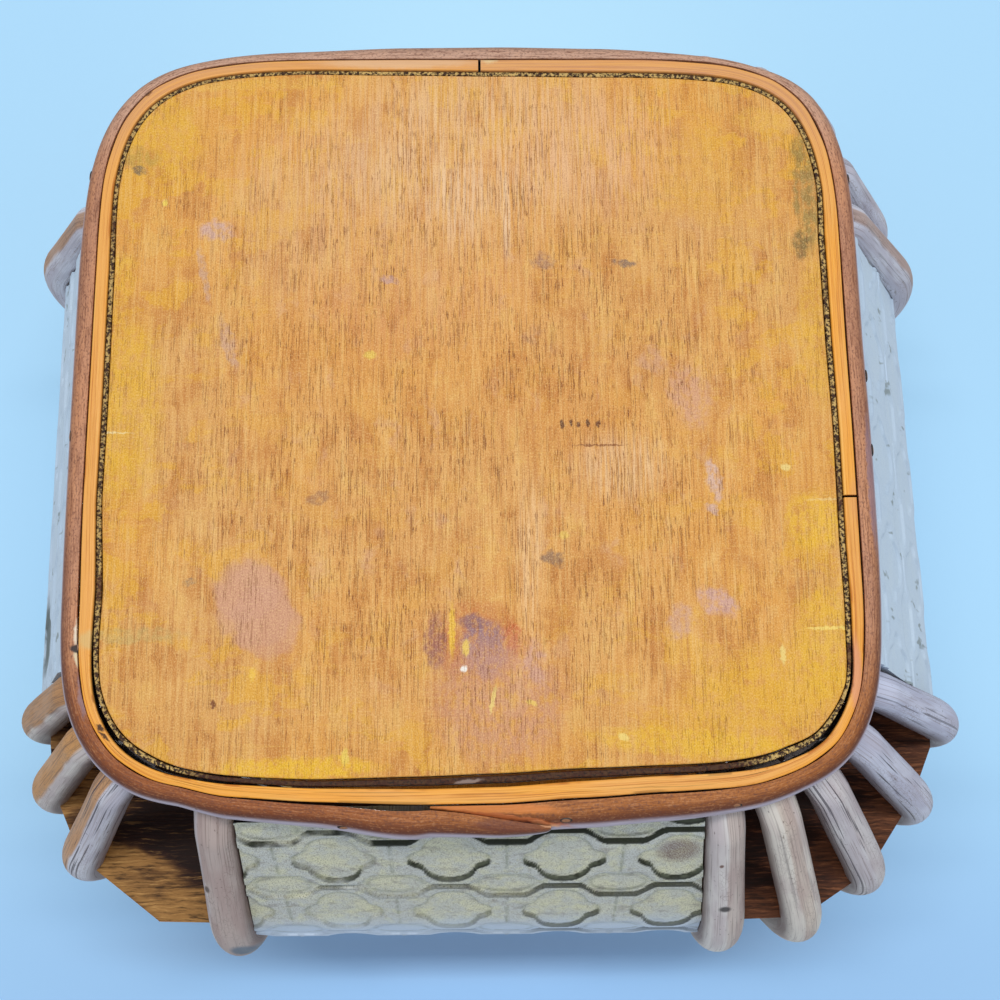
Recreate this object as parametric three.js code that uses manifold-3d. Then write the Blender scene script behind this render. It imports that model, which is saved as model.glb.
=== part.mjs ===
// A square rattan basket whose sides bow out between a flat bottom and a flat rim.
// The bottom is a board with rounded corners, bound by an edging and two bent
// bands. Bent ribs fan round each corner from the bottom bands to the rim bands,
// a board at half height keeps them in place, and four embossed sheets that bow
// with the ribs close the sides. All lengths are in millimetres.
import * as THREE from 'three';
import { mergeVertices } from 'three/addons/utils/BufferGeometryUtils.js';
import Module from 'manifold-3d';

// Overall sizes
const basketHeight = 210;
const baseWidth = 215;
const bulgeDepth = 50;

// Bottom and rim: the board, its edging and the two bands round it
const baseThickness = 12;
const edgingThickness = 1.5;
const innerBandThickness = 3.9;
const outerBandThickness = 6.2;
const buttGap = 0.8;
const backJointPlace = 3.5;
const sideJointPlace = 28.5;
const rimWidth = 22.5;

// The outer band's lap at the front, measured from the middle of that side
const lapTipPlace = 22;
const lapEndPlace = 11.7;
const lapTipThickness = 1.2;
const lapEndThickness = 2.4;
const lapSettlePlace = 80;
const lapTaperPlace = 49;

// Ribs
const rodDiameter = 12.6;
const bowRadius = 70;
const ribSpacing = 0.4;

// Board at half height
const shoulderThickness = 18;
const shoulderDrop = 7.5;
const shoulderWidth = 45.5;
const shoulderOpeningRadius = 60;

// Side sheets
const panelThickness = 4.7;
const panelSetBack = 0.5;
const panelSideGap = 0.6;
const medallionWidth = 24;
const medallionHeight = 29;
const medallionRelief = 1;
const columnPitch = 34.8;
const rowPitch = 37.8;
const firstRowPlace = 25.1;
const firstColumnPlace = 7.7;

// Clearances
const seatGap = 0.3;
const weldDistance = 0.0001;
const cutOverrun = 8;

// Squareness of the bottom, and the outer band's section in shares of its
// thickness and height
const squarenessShare = 6.8;
const bandSectionShares = [
  [0, 0], [0.42, 0.02], [0.8, 0.13], [1, 0.4], [1, 0.62], [0.8, 0.88], [0.4, 1], [0, 1],
];

// Each corner's ribs, from the front or back side round to the left or right
// side: where the middle foot stands in the quarter turn, the feet's pitch,
// where each rib bulges to in half bulges, and which ribs are still there
const allThere = [true, true, true, true, true];
const corners = {
  front_left: {
    middleShare: 0.554,
    pitchShare: 1.115,
    bulgeShares: [[0.518, 1.006], [0.69, 0.987], [0.837, 0.892], [0.953, 0.744], [1.024, 0.573]],
    there: allThere,
  },
  front_right: {
    middleShare: 0.532,
    pitchShare: 1.1,
    bulgeShares: [[0.514, 1.003], [0.67, 0.985], [0.851, 0.845], [0.929, 0.699], [0.962, 0.548]],
    there: [true, false, true, true, true],
  },
  back_left: {
    middleShare: 0.44,
    pitchShare: 1.32,
    bulgeShares: [[0.509, 0.981], [0.662, 0.956], [0.835, 0.825], [0.95, 0.58], [1, 0.45]],
    there: allThere,
  },
  back_right: {
    middleShare: 0.452,
    pitchShare: 1.32,
    bulgeShares: [[0.509, 0.981], [0.662, 0.956], [0.8, 0.81], [0.885, 0.63], [0.978, 0.5]],
    there: allThere,
  },
};
const shoulderInsetShares = [0.87, 0.55, 0.5, 0.75, 1.27];
const shoulderStepShare = 0.7;

// Each side sheet: the corners on its left and right seen from outside, whether
// it meets their first or last rib, and how far it bulges there
const panels = {
  front: { corners: ['front_left', 'front_right'], meets: 'first', bulgeShares: [1.008, 1.008] },
  back: { corners: ['back_right', 'back_left'], meets: 'first', bulgeShares: [0.98, 0.98] },
  left: { corners: ['back_left', 'front_left'], meets: 'last', bulgeShares: [0.995, 1.02] },
  right: { corners: ['front_right', 'back_right'], meets: 'last', bulgeShares: [0.968, 0.97] },
};

// A medallion's outline in half widths and half heights, a quarter of it, and
// how much smaller its raised face is
const medallionShares = [[1, 0], [0.68, 0.42], [0.44, 0.82], [0, 1]];
const medallionFaceShare = 0.88;

// Facet counts
const quarterFacets = 12;
const lapFacets = 4;
const rodSides = 8;
const bowSteps = 10;
const panelBowSteps = 8;
const openingFacets = 6;
const solveSteps = 50;

// Sizes that follow from the ones above
const halfHeight = basketHeight / 2;
const halfBase = baseWidth / 2;
const halfBulge = halfBase + bulgeDepth;
const rodRadius = rodDiameter / 2;
const edgingOffset = seatGap;
const innerBandOffset = edgingOffset + edgingThickness + seatGap;
const outerBandOffset = innerBandOffset + innerBandThickness + seatGap;
const footOffset = outerBandOffset + outerBandThickness / 2;
const seatHeight = baseThickness + seatGap;
const rise = halfHeight - seatHeight;
const panelFoot = halfBase + outerBandOffset + outerBandThickness;

const towards = {
  right: new THREE.Vector2(1, 0),
  back: new THREE.Vector2(0, 1),
  left: new THREE.Vector2(-1, 0),
  front: new THREE.Vector2(0, -1),
};

const manifold = await Module();
manifold.setup();

function look(color, roughness) {
  return new THREE.MeshStandardMaterial({ color, roughness, metalness: 0 });
}
const looks = {
  board: look(0xb8742c, 0.45),
  edging: look(0xcdb27c, 0.6),
  band: look(0xc07a32, 0.4),
  rod: look(0xc3b6a6, 0.5),
  shoulder: look(0x5a3b1e, 0.6),
  panel: look(0xbfc6a6, 0.6),
};

// A point of the rounded square round which everything is bent, a superellipse.
// The turn is its running angle, and the offset moves the point out squarely.
function rimPoint(turn, offset) {
  const c = Math.cos(turn);
  const s = Math.sin(turn);
  const power = 2 / squarenessShare;
  const x = halfBase * Math.sign(c) * Math.abs(c) ** power;
  const y = halfBase * Math.sign(s) * Math.abs(s) ** power;
  const nx = Math.sign(c) * Math.abs(c) ** (2 - power);
  const ny = Math.sign(s) * Math.abs(s) ** (2 - power);
  const normal = new THREE.Vector2(nx, ny).normalize();
  return new THREE.Vector2(x, y).addScaledVector(normal, offset);
}

// The turn at a place along one side, counted anticlockwise from its middle.
// The sides are numbered anticlockwise from the one that faces +X.
function turnAt(side, place) {
  const share = Math.min(Math.abs(place) / halfBase, 1) ** (squarenessShare / 2);
  return (side * Math.PI) / 2 + Math.sign(place) * Math.asin(share);
}

// The turns from one place round to another, with every regular one between
function turnsBetween(start, end, extra = []) {
  const step = Math.PI / 2 / quarterFacets;
  const turns = [start, ...extra];
  for (let k = Math.floor(start / step) + 1; k * step < end; k += 1) turns.push(k * step);
  turns.push(end);
  return turns.sort((a, b) => a - b);
}

function closedLoop(offset) {
  const count = 4 * quarterFacets;
  return Array.from({ length: count }, (_, k) => rimPoint((2 * Math.PI * k) / count, offset));
}

function upright(shape, height) {
  return new THREE.ExtrudeGeometry(shape, {
    depth: height, bevelEnabled: false, curveSegments: openingFacets,
  });
}

// A strip with square edges from one turn to another
function stripGeometry(start, end, offset, thickness) {
  const turns = turnsBetween(start, end);
  const outer = turns.map((turn) => rimPoint(turn, offset + thickness));
  const inner = turns.map((turn) => rimPoint(turn, offset)).reverse();
  return upright(new THREE.Shape([...outer, ...inner]), baseThickness);
}

function signedVolume(positions, indices) {
  const corner = (k) => new THREE.Vector3().fromArray(positions, 3 * indices[k]);
  let sum = 0;
  for (let k = 0; k < indices.length; k += 3) sum += corner(k).dot(corner(k + 1).cross(corner(k + 2)));
  return sum;
}

// A closed body through rows of points that all follow one outline: the rows
// are joined one to the next, and the outline closes the first and the last
function loft(rows, outline) {
  const count = outline.length;
  const last = (rows.length - 1) * count;
  const indices = [];
  for (let i = 0; i < last; i += count) {
    for (let j = 0; j < count; j += 1) {
      const next = (j + 1) % count;
      indices.push(i + j, i + next, i + next + count, i + j, i + next + count, i + j + count);
    }
  }
  const way = Math.sign(THREE.ShapeUtils.area(outline));
  for (const face of THREE.ShapeUtils.triangulateShape(outline, [])) {
    const same = THREE.ShapeUtils.area(face.map((k) => outline[k])) * way > 0;
    const [a, b, c] = same ? face : [...face].reverse();
    indices.push(a, c, b, last + a, last + b, last + c);
  }
  const positions = rows.flat().flatMap((point) => point.toArray());
  if (signedVolume(positions, indices) < 0) indices.reverse();
  const geometry = new THREE.BufferGeometry();
  geometry.setAttribute('position', new THREE.Float32BufferAttribute(positions, 3));
  geometry.setIndex(indices);
  geometry.computeVertexNormals();
  return geometry;
}

// The outer band goes round once and laps itself at the front. Its tip lies
// outside, drawn out thin over its thinned end, and it settles back onto the
// inner band on the right.
function endThickness(x) {
  const share = THREE.MathUtils.clamp((x + lapTaperPlace) / (lapEndPlace + lapTaperPlace), 0, 1);
  return THREE.MathUtils.lerp(outerBandThickness, lapEndThickness, share);
}
function outerBandPlace(turn) {
  const x = rimPoint(turn, 0).x;
  if (turn > Math.PI) return [outerBandOffset, endThickness(x)];
  if (turn > turnAt(-1, lapSettlePlace)) return [outerBandOffset, outerBandThickness];
  const settle = THREE.MathUtils.clamp((x - lapEndPlace) / (lapSettlePlace - lapEndPlace), 0, 1);
  const growth = THREE.MathUtils.clamp((x + lapTipPlace) / (lapEndPlace + lapTipPlace), 0, 1);
  const lift = (endThickness(x) + seatGap) * (1 - settle);
  return [outerBandOffset + lift, THREE.MathUtils.lerp(lapTipThickness, outerBandThickness, growth)];
}
function outerBandGeometry() {
  const extra = [turnAt(-1, lapEndPlace), turnAt(3, -lapTaperPlace), turnAt(3, -lapTipPlace)];
  for (let k = 1; k < lapFacets; k += 1) {
    const place = THREE.MathUtils.lerp(lapEndPlace, lapSettlePlace, k / lapFacets);
    extra.push(turnAt(-1, place));
  }
  const turns = turnsBetween(turnAt(-1, -lapTipPlace), turnAt(3, lapEndPlace), extra);
  const rows = turns.map((turn) => {
    const [offset, thickness] = outerBandPlace(turn);
    return bandSectionShares.map(([outShare, upShare]) => {
      const point = rimPoint(turn, offset + outShare * thickness);
      return new THREE.Vector3(point.x, point.y, upShare * baseThickness);
    });
  });
  return loft(rows, bandSectionShares.map((pair) => new THREE.Vector2(...pair)));
}

// The angle from upright at which a slope leaves the seat, so that with a bow
// up to half height it reaches out by the reach
function slopeAngle(reach, radius) {
  let low = 0;
  let high = Math.PI / 2;
  for (let k = 0; k < solveSteps; k += 1) {
    const angle = (low + high) / 2;
    const got = (rise - radius * Math.sin(angle)) * Math.tan(angle) + radius * (1 - Math.cos(angle));
    if (got < reach) low = angle;
    else high = angle;
  }
  return low;
}

// The line of a rib in its own upright plane: a straight slope from the seat, a
// bow past half height and the same slope mirrored. It starts under the seat.
class RibCurve extends THREE.Curve {
  constructor(reach) {
    super();
    this.reach = reach;
    this.angle = slopeAngle(reach, bowRadius);
    this.slope = (rise - bowRadius * Math.sin(this.angle)) / Math.cos(this.angle);
    this.slopeShare = 1 / (2 + bowSteps);
  }

  // The line's own measure places the stations, so spaced points keep to it
  getUtoTmapping(u) {
    return u;
  }

  getPoint(t, target = new THREE.Vector3()) {
    const above = t > 0.5;
    const share = above ? 1 - t : t;
    let x = 0;
    let z = 0;
    if (share < this.slopeShare) {
      const length = THREE.MathUtils.lerp(-cutOverrun, this.slope, share / this.slopeShare);
      x = length * Math.sin(this.angle);
      z = length * Math.cos(this.angle);
    } else {
      const part = (share - this.slopeShare) / (0.5 - this.slopeShare);
      const turned = this.angle * (1 - part);
      x = this.reach - bowRadius * (1 - Math.cos(turned));
      z = rise - bowRadius * Math.sin(turned);
    }
    return target.set(x, 0, above ? 2 * rise - z : z);
  }
}

function ribGeometry(reach, radius) {
  const section = new THREE.Shape();
  for (let k = 0; k < rodSides; k += 1) {
    const angle = (2 * Math.PI * k) / rodSides;
    const point = new THREE.Vector2(radius, 0).rotateAround(new THREE.Vector2(), angle);
    if (k === 0) section.moveTo(point.x, point.y);
    else section.lineTo(point.x, point.y);
  }
  section.closePath();
  return new THREE.ExtrudeGeometry(section, {
    steps: 2 + bowSteps, bevelEnabled: false, extrudePath: new RibCurve(reach),
  });
}

// A rib's ends are cut level, so that they seat on the bands
function seatedRib(reach) {
  const rod = toSolid(ribGeometry(reach, rodRadius));
  return fromSolid(rod.trimByPlane([0, 0, 1], 0).trimByPlane([0, 0, -1], -2 * rise));
}

// The turn one pitch away from another along the line of the feet
function steppedTurn(turn, way, pitch) {
  const start = rimPoint(turn, footOffset);
  let near = 0;
  let far = Math.PI / 4;
  for (let k = 0; k < solveSteps; k += 1) {
    const middle = (near + far) / 2;
    if (rimPoint(turn + way * middle, footOffset).distanceTo(start) < pitch) near = middle;
    else far = middle;
  }
  return turn + way * near;
}

// Where each rib of a corner stands and bulges to
function cornerRibs(name, { middleShare, pitchShare, bulgeShares }) {
  const step = (rodDiameter + ribSpacing) * pitchShare;
  const third = (middleShare * Math.PI) / 2;
  const second = steppedTurn(third, 1, step);
  const fourth = steppedTurn(third, -1, step);
  const turns = [steppedTurn(second, 1, step), second, third, fourth, steppedTurn(fourth, -1, step)];
  const [frontOrBack, leftOrRight] = name.split('_');
  const mirror = towards[frontOrBack].clone().add(towards[leftOrRight]);
  return turns.map((turn, k) => {
    const foot = rimPoint(turn, footOffset).multiply(mirror);
    const bulge = new THREE.Vector2(...bulgeShares[k]).multiplyScalar(halfBulge).multiply(mirror);
    return { foot, bulge, way: bulge.clone().sub(foot).normalize(), reach: foot.distanceTo(bulge) };
  });
}
const ribPlaces = Object.fromEntries(
  Object.entries(corners).map(([name, shares]) => [name, cornerRibs(name, shares)]),
);

function placeRib(geometry, { foot, way }) {
  const mesh = new THREE.Mesh(geometry, looks.rod);
  mesh.position.set(foot.x, foot.y, seatHeight);
  mesh.rotation.z = way.angle();
  mesh.updateMatrixWorld();
  return mesh;
}

// One side sheet's measure: how far its face lies out at a length along its
// profile from the bottom bands up, and the height over the seat, for a face
// moved out by an offset
function panelProfile(crown) {
  const angle = slopeAngle(crown - panelFoot, bowRadius);
  const slope = (rise - bowRadius * Math.sin(angle)) / Math.cos(angle);
  const bow = 2 * bowRadius * angle;
  return (length, offset) => {
    const above = length > slope + bow / 2;
    const run = above ? 2 * slope + bow - length : length;
    const turned = run < slope ? angle : angle - (run - slope) / bowRadius;
    const short = Math.max(slope - run, 0);
    const size = bowRadius + offset;
    const out = crown - bowRadius + size * Math.cos(turned) - short * Math.sin(turned);
    const down = size * Math.sin(turned) + short * Math.cos(turned);
    return new THREE.Vector2(out, above ? rise + down : rise - down);
  };
}
function panelEnd(side, end, grow) {
  const { corners: ends, meets, bulgeShares } = panels[side];
  const out = towards[side];
  const across = new THREE.Vector2(-out.y, out.x);
  const { foot, way } = ribPlaces[ends[end]].at(meets === 'first' ? 0 : -1);
  const lean = way.dot(across) / way.dot(out);
  const inward = (end === 0 ? 1 : -1) * (rodRadius + panelSideGap - grow) * Math.hypot(1, lean);
  const crown = (halfBulge - panelSetBack) * bulgeShares[end];
  const placeOf = (distance) => foot.dot(across) + (distance - foot.dot(out)) * lean + inward;
  return { crown, placeOf };
}

// A point in the frame of a side, from its distance out, its place across and
// its height over the seat
function sidePoint(side, distance, place, height) {
  const out = towards[side];
  const across = new THREE.Vector2(-out.y, out.x);
  const flat = out.clone().multiplyScalar(distance).addScaledVector(across, place);
  return new THREE.Vector3(flat.x, flat.y, seatHeight + height);
}

// A side sheet: slopes and a bow of even thickness, level edges on the bands,
// and ends that run beside the ribs they meet. It can be grown by a clearance.
function panelGeometry(side, grow) {
  const rows = [0, 1].map((end) => {
    const { crown, placeOf } = panelEnd(side, end, grow);
    const angle = slopeAngle(crown - panelFoot, bowRadius);
    const outline = [];
    for (const [offset, way] of [[grow, 1], [-panelThickness - grow, -1]]) {
      const size = bowRadius + offset;
      const edge = crown - bowRadius + size / Math.cos(angle) - rise * Math.tan(angle);
      outline.push(new THREE.Vector2(edge, rise - way * rise));
      for (let k = 0; k <= panelBowSteps; k += 1) {
        const turned = way * angle * ((2 * k) / panelBowSteps - 1);
        const out = crown - bowRadius + size * Math.cos(turned);
        outline.push(new THREE.Vector2(out, rise + size * Math.sin(turned)));
      }
      outline.push(new THREE.Vector2(edge, rise + way * rise));
    }
    return { outline, placeOf };
  });
  const points = rows.map(({ outline, placeOf }) => (
    outline.map((point) => sidePoint(side, point.x, placeOf(point.x), point.y))
  ));
  return loft(points, rows[0].outline);
}

// The medallions raised on a side sheet, in level rows and upright columns. One
// that would reach past the sheet's ends or edges is left out.
function medallionOutline() {
  const half = [medallionWidth / 2, medallionHeight / 2];
  const quarter = medallionShares.map(([x, y]) => new THREE.Vector2(x * half[0], y * half[1]));
  const mirrored = (way) => quarter.map((point) => point.clone().multiply(new THREE.Vector2(...way)));
  return [
    ...quarter,
    ...mirrored([-1, 1]).reverse().slice(1),
    ...mirrored([-1, -1]).slice(1),
    ...mirrored([1, -1]).reverse().slice(1, -1),
  ];
}
function medallionGeometries(side) {
  const ends = [panelEnd(side, 0, 0), panelEnd(side, 1, 0)];
  const crown = (ends[0].crown + ends[1].crown) / 2;
  const profile = panelProfile(crown);
  const angle = slopeAngle(crown - panelFoot, bowRadius);
  const total = 2 * ((rise - bowRadius * Math.sin(angle)) / Math.cos(angle) + bowRadius * angle);
  const outline = medallionOutline();
  const made = [];
  for (let row = firstRowPlace; row + medallionHeight / 2 < total; row += rowPitch) {
    const distance = profile(row, 0).x;
    const [low, high] = ends.map(({ placeOf }) => placeOf(distance)).sort((a, b) => a - b);
    const first = Math.ceil((low + medallionWidth / 2 - firstColumnPlace) / columnPitch);
    const last = Math.floor((high - medallionWidth / 2 - firstColumnPlace) / columnPitch);
    for (let column = first; column <= last; column += 1) {
      const middle = firstColumnPlace + column * columnPitch;
      const [from, to] = ends.map(({ placeOf }) => placeOf(distance));
      const share = (middle - from) / (to - from);
      const shift = THREE.MathUtils.lerp(ends[0].crown, ends[1].crown, share) - crown;
      const level = (size, offset) => outline.map((point) => {
        const place = profile(row + point.y * size, offset);
        return sidePoint(side, place.x + shift, middle + point.x * size, place.y);
      });
      made.push(loft([level(1, -medallionRelief), level(medallionFaceShare, medallionRelief)], outline));
    }
  }
  return made;
}
function embossedPanel(side) {
  let solid = toSolid(panelGeometry(side, 0));
  for (const medallion of medallionGeometries(side)) solid = solid.add(toSolid(medallion));
  return fromSolid(solid);
}

function toSolid(geometry) {
  const plain = geometry.clone();
  plain.deleteAttribute('normal');
  plain.deleteAttribute('uv');
  const merged = mergeVertices(plain, weldDistance);
  return new manifold.Manifold(new manifold.Mesh({
    numProp: 3,
    vertProperties: merged.getAttribute('position').array,
    triVerts: Uint32Array.from(merged.getIndex().array),
  }));
}

// Cuts that only touch can leave crumbs with no volume to speak of
function sweptClean(solid) {
  return manifold.Manifold.compose(solid.decompose().filter((part) => part.volume() > seatGap ** 3));
}

function fromSolid(solid) {
  const mesh = solid.getMesh();
  const geometry = new THREE.BufferGeometry();
  geometry.setAttribute('position', new THREE.BufferAttribute(mesh.vertProperties, 3));
  geometry.setIndex(new THREE.BufferAttribute(mesh.triVerts, 1));
  geometry.computeVertexNormals();
  return geometry;
}

// The outline of the board at half height, one corner after the other: it runs
// through the ribs, with a step where each corner meets the left or right side
function shoulderCorner(name) {
  const points = ribPlaces[name].map(({ bulge, way }, k) => (
    bulge.clone().addScaledVector(way, -rodRadius * shoulderInsetShares[k])
  ));
  const side = points[points.length - 1];
  const step = Math.sign(side.y) * rodDiameter * shoulderStepShare;
  points.splice(points.length - 1, 0, new THREE.Vector2(side.x, side.y + step));
  return points;
}

function roundedSquare(width, radius) {
  const edge = width / 2 - radius;
  const path = new THREE.Path();
  path.absarc(edge, edge, radius, 0, Math.PI / 2);
  path.absarc(-edge, edge, radius, Math.PI / 2, Math.PI);
  path.absarc(-edge, -edge, radius, Math.PI, (3 * Math.PI) / 2);
  path.absarc(edge, -edge, radius, (3 * Math.PI) / 2, 2 * Math.PI);
  path.closePath();
  return path;
}

// The board at half height, notched for the ribs and cut back for the sheets
function shoulderGeometry() {
  const shape = new THREE.Shape([
    ...shoulderCorner('front_right'),
    ...shoulderCorner('back_right').reverse(),
    ...shoulderCorner('back_left'),
    ...shoulderCorner('front_left').reverse(),
  ]);
  shape.holes.push(roundedSquare(2 * (halfBulge - shoulderWidth), shoulderOpeningRadius));
  const board = upright(shape, shoulderThickness);
  board.translate(0, 0, halfHeight - shoulderDrop - shoulderThickness);
  let solid = toSolid(board);
  for (const [name, { there }] of Object.entries(corners)) {
    ribPlaces[name].forEach((place, k) => {
      if (!there[k]) return;
      const rod = placeRib(ribGeometry(place.reach, rodRadius + seatGap), place);
      solid = solid.subtract(toSolid(rod.geometry.applyMatrix4(rod.matrixWorld)));
    });
  }
  for (const side of Object.keys(panels)) {
    solid = solid.subtract(toSolid(panelGeometry(side, seatGap)));
  }
  return fromSolid(sweptClean(solid));
}

function addPiece(parent, name, geometry, material) {
  const mesh = new THREE.Mesh(geometry, material);
  mesh.name = name;
  parent.add(mesh);
  return mesh;
}

// The bottom, from its board outward. The inner band is two strips that meet
// at a joint at the back and one on the left, and the edging is one ring.
const bottom = new THREE.Group();
addPiece(bottom, 'base_board', upright(new THREE.Shape(closedLoop(0)), baseThickness), looks.board);
const edging = new THREE.Shape(closedLoop(edgingOffset + edgingThickness));
edging.holes.push(new THREE.Path(closedLoop(edgingOffset)));
addPiece(bottom, 'base_edging', upright(edging, baseThickness), looks.edging);
const innerBandEnds = {
  a: [turnAt(-2, sideJointPlace + buttGap / 2), turnAt(1, backJointPlace - buttGap / 2)],
  b: [turnAt(1, backJointPlace + buttGap / 2), turnAt(2, sideJointPlace - buttGap / 2)],
};
for (const [name, [start, end]] of Object.entries(innerBandEnds)) {
  const strip = stripGeometry(start, end, innerBandOffset, innerBandThickness);
  addPiece(bottom, `base_inner_band_${name}`, strip, looks.band);
}
addPiece(bottom, 'base_outer_band', outerBandGeometry(), looks.band);

// The ribs
const fans = new THREE.Group();
for (const [name, { there }] of Object.entries(corners)) {
  ribPlaces[name].forEach((place, k) => {
    if (!there[k]) return;
    const rib = placeRib(seatedRib(place.reach), place);
    rib.name = `rib_${name}_${k + 1}`;
    fans.add(rib);
  });
}

// The board at half height and the side sheets
const sides = new THREE.Group();
addPiece(sides, 'shoulder_frame', shoulderGeometry(), looks.shoulder);
for (const side of Object.keys(panels)) {
  addPiece(sides, `panel_${side}`, embossedPanel(side), looks.panel);
}

// The rim is bound like the bottom, turned over about the line from front to
// back, and its board is open in the middle
const rim = new THREE.Group();
const rimBoard = new THREE.Shape(closedLoop(edgingOffset + edgingThickness));
rimBoard.holes.push(new THREE.Path(closedLoop(-rimWidth)));
addPiece(rim, 'top_frame', upright(rimBoard, baseThickness), looks.board);
const rimStrip = stripGeometry(
  turnAt(-3, backJointPlace + buttGap / 2),
  turnAt(1, backJointPlace - buttGap / 2),
  innerBandOffset,
  innerBandThickness,
);
addPiece(rim, 'top_inner_band', rimStrip, looks.band);
addPiece(rim, 'top_outer_band', outerBandGeometry(), looks.band);
rim.rotation.y = Math.PI;
rim.position.z = basketHeight;

// The whole basket stands on its bottom, centred on its outermost points
const basket = new THREE.Group();
basket.add(bottom, fans, sides, rim);
basket.updateMatrixWorld(true);
const middle = new THREE.Box3().setFromObject(basket, true).getCenter(new THREE.Vector3());
basket.position.set(-middle.x, -middle.y, 0);

export default basket;
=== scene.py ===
"""A square rattan basket with bowed sides, seen from below as it lies upside down.

Lengths are in millimetres about the middle of the bottom board, and become
metres in the object's frame when a mesh is made.
"""

import bmesh
import bpy
import numpy as np
from mathutils import Matrix, Vector


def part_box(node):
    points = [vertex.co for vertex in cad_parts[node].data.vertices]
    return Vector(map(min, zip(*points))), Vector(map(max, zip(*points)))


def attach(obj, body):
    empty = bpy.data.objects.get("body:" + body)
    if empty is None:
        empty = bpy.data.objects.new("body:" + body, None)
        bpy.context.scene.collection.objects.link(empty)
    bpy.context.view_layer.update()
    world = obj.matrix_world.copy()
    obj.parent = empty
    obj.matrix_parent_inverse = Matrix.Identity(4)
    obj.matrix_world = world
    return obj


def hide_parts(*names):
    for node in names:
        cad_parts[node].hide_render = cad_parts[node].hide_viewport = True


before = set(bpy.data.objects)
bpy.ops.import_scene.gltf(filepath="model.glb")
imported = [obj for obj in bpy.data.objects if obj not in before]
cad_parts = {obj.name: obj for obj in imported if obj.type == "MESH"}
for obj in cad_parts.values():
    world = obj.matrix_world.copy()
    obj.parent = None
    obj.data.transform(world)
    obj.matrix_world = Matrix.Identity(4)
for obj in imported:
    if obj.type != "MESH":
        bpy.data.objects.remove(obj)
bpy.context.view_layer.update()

MM = 0.001
CIRCLE = 2 * np.pi
board_low, board_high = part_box("base_board")
CENTRE = np.array([(board_low.x + board_high.x) / 2, (board_low.y + board_high.y) / 2, 0.0])

# Sizes, as in the part's source
HALF_BASE = 107.5
SQUARENESS = 6.8
BAND_HEIGHT = 12.0
HEIGHT = 210.0
SEAT_HEIGHT = 12.3
RISE = HEIGHT / 2 - SEAT_HEIGHT
BOW_RADIUS = 70.0
ROD_RADIUS = 6.3
EDGING_OFFSET = 1.8
INNER_OFFSET = 2.1
INNER_THICKNESS = 3.9
OUTER_OFFSET = 6.3
OUTER_THICKNESS = 6.2
BACK_JOINT = 3.5
SIDE_JOINT = 28.5
BUTT_GAP = 0.8
RIM_WIDTH = 22.5
PANEL_FOOT = 120.0
PANEL_THICKNESS = 4.7
PANEL_SIDE_GAP = 0.6

# Sizes that are only here: the edging's inner side, the seam between the bands, how
# far the ribs' feet turn in and over what length, the gap that ribs and sheets keep
# to the bands at both ends, and half the sheets' relief
EDGING_INNER = 0.45
SEAM_OFFSET = 6.1
FOOT_TUCK = 4.6
TUCK_LENGTH = 15.0
END_GAP = 0.05
RELIEF = 0.45
FOOT_LEVEL, HEAD_LEVEL = SEAT_HEIGHT + END_GAP, HEIGHT - SEAT_HEIGHT - END_GAP

# The ribs: x and y where each stands under the bands and where it bulges to, then
# its looks: the two limits of its bark stripe across the rod, from -1 to 1, how
# golden and how strong that stripe is, how many dark lines it has, how warm it is
RIBS = {
    "front_left_1": (-72.8, -115.8, -81.6, -158.4, -0.85, 0.1, 0.1, 0.4, 0.2, 0.7),
    "front_left_2": (-87.1, -113.2, -108.7, -155.5, -0.4, 0.3, 0.2, 0.3, 0.3, 0.9),
    "front_left_3": (-100.1, -106.9, -131.8, -140.5, -0.9, 0.1, 0.0, 0.2, 0.9, 0.55),
    "front_left_4": (-109.6, -95.9, -150.1, -117.2, -0.5, 0.0, 0.0, 0.1, 1.0, 0.1),
    "front_left_5": (-114.4, -82.2, -161.3, -90.2, -0.1, 0.3, 0.0, 0.1, 0.7, 0.0),
    "front_right_1": (75.1, -115.5, 81.0, -158.0, -1.4, 0.68, 0.0, 0.6, 0.0, 0.6),
    "front_right_3": (101.6, -105.6, 134.0, -133.1, -0.05, 1.4, 0.7, 0.9, 1.0, 0.3),
    "front_right_4": (110.4, -94.3, 146.3, -110.1, -0.4, 1.4, 0.85, 0.95, 0.05, 0.75),
    "front_right_5": (114.7, -80.7, 151.5, -86.3, -0.65, 0.95, 0.55, 1.0, 0.3, 0.8),
    "back_left_1": (-77.4, 115.2, -80.2, 154.5, -0.4, 0.4, 0.2, 0.2, 0.2, 0.3),
    "back_left_2": (-93.9, 110.6, -104.3, 150.6, -0.4, 0.4, 0.3, 0.3, 0.3, 0.3),
    "back_left_3": (-107.2, 99.7, -131.5, 129.9, -0.4, 0.4, 0.2, 0.2, 0.2, 0.2),
    "back_left_4": (-114.0, 83.9, -149.6, 91.4, -0.4, 0.4, 0.1, 0.2, 0.3, 0.2),
    "back_left_5": (-116.3, 66.9, -157.5, 70.9, -0.3, 0.4, 0.2, 0.7, 0.4, 0.3),
    "back_right_1": (76.4, 115.4, 80.2, 154.5, -0.4, 0.4, 0.2, 0.5, 0.4, 0.3),
    "back_right_2": (93.0, 111.0, 104.3, 150.6, -0.4, 0.4, 0.1, 0.5, 0.4, 0.3),
    "back_right_3": (106.5, 100.5, 126.0, 127.6, -0.4, 0.4, 0.3, 0.5, 0.4, 0.3),
    "back_right_4": (113.8, 85.0, 139.4, 99.2, -0.4, 0.4, 0.2, 0.5, 0.4, 0.3),
    "back_right_5": (116.2, 68.0, 154.0, 78.7, -0.6, 0.2, 0.4, 0.9, 0.2, 0.3),
}

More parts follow.
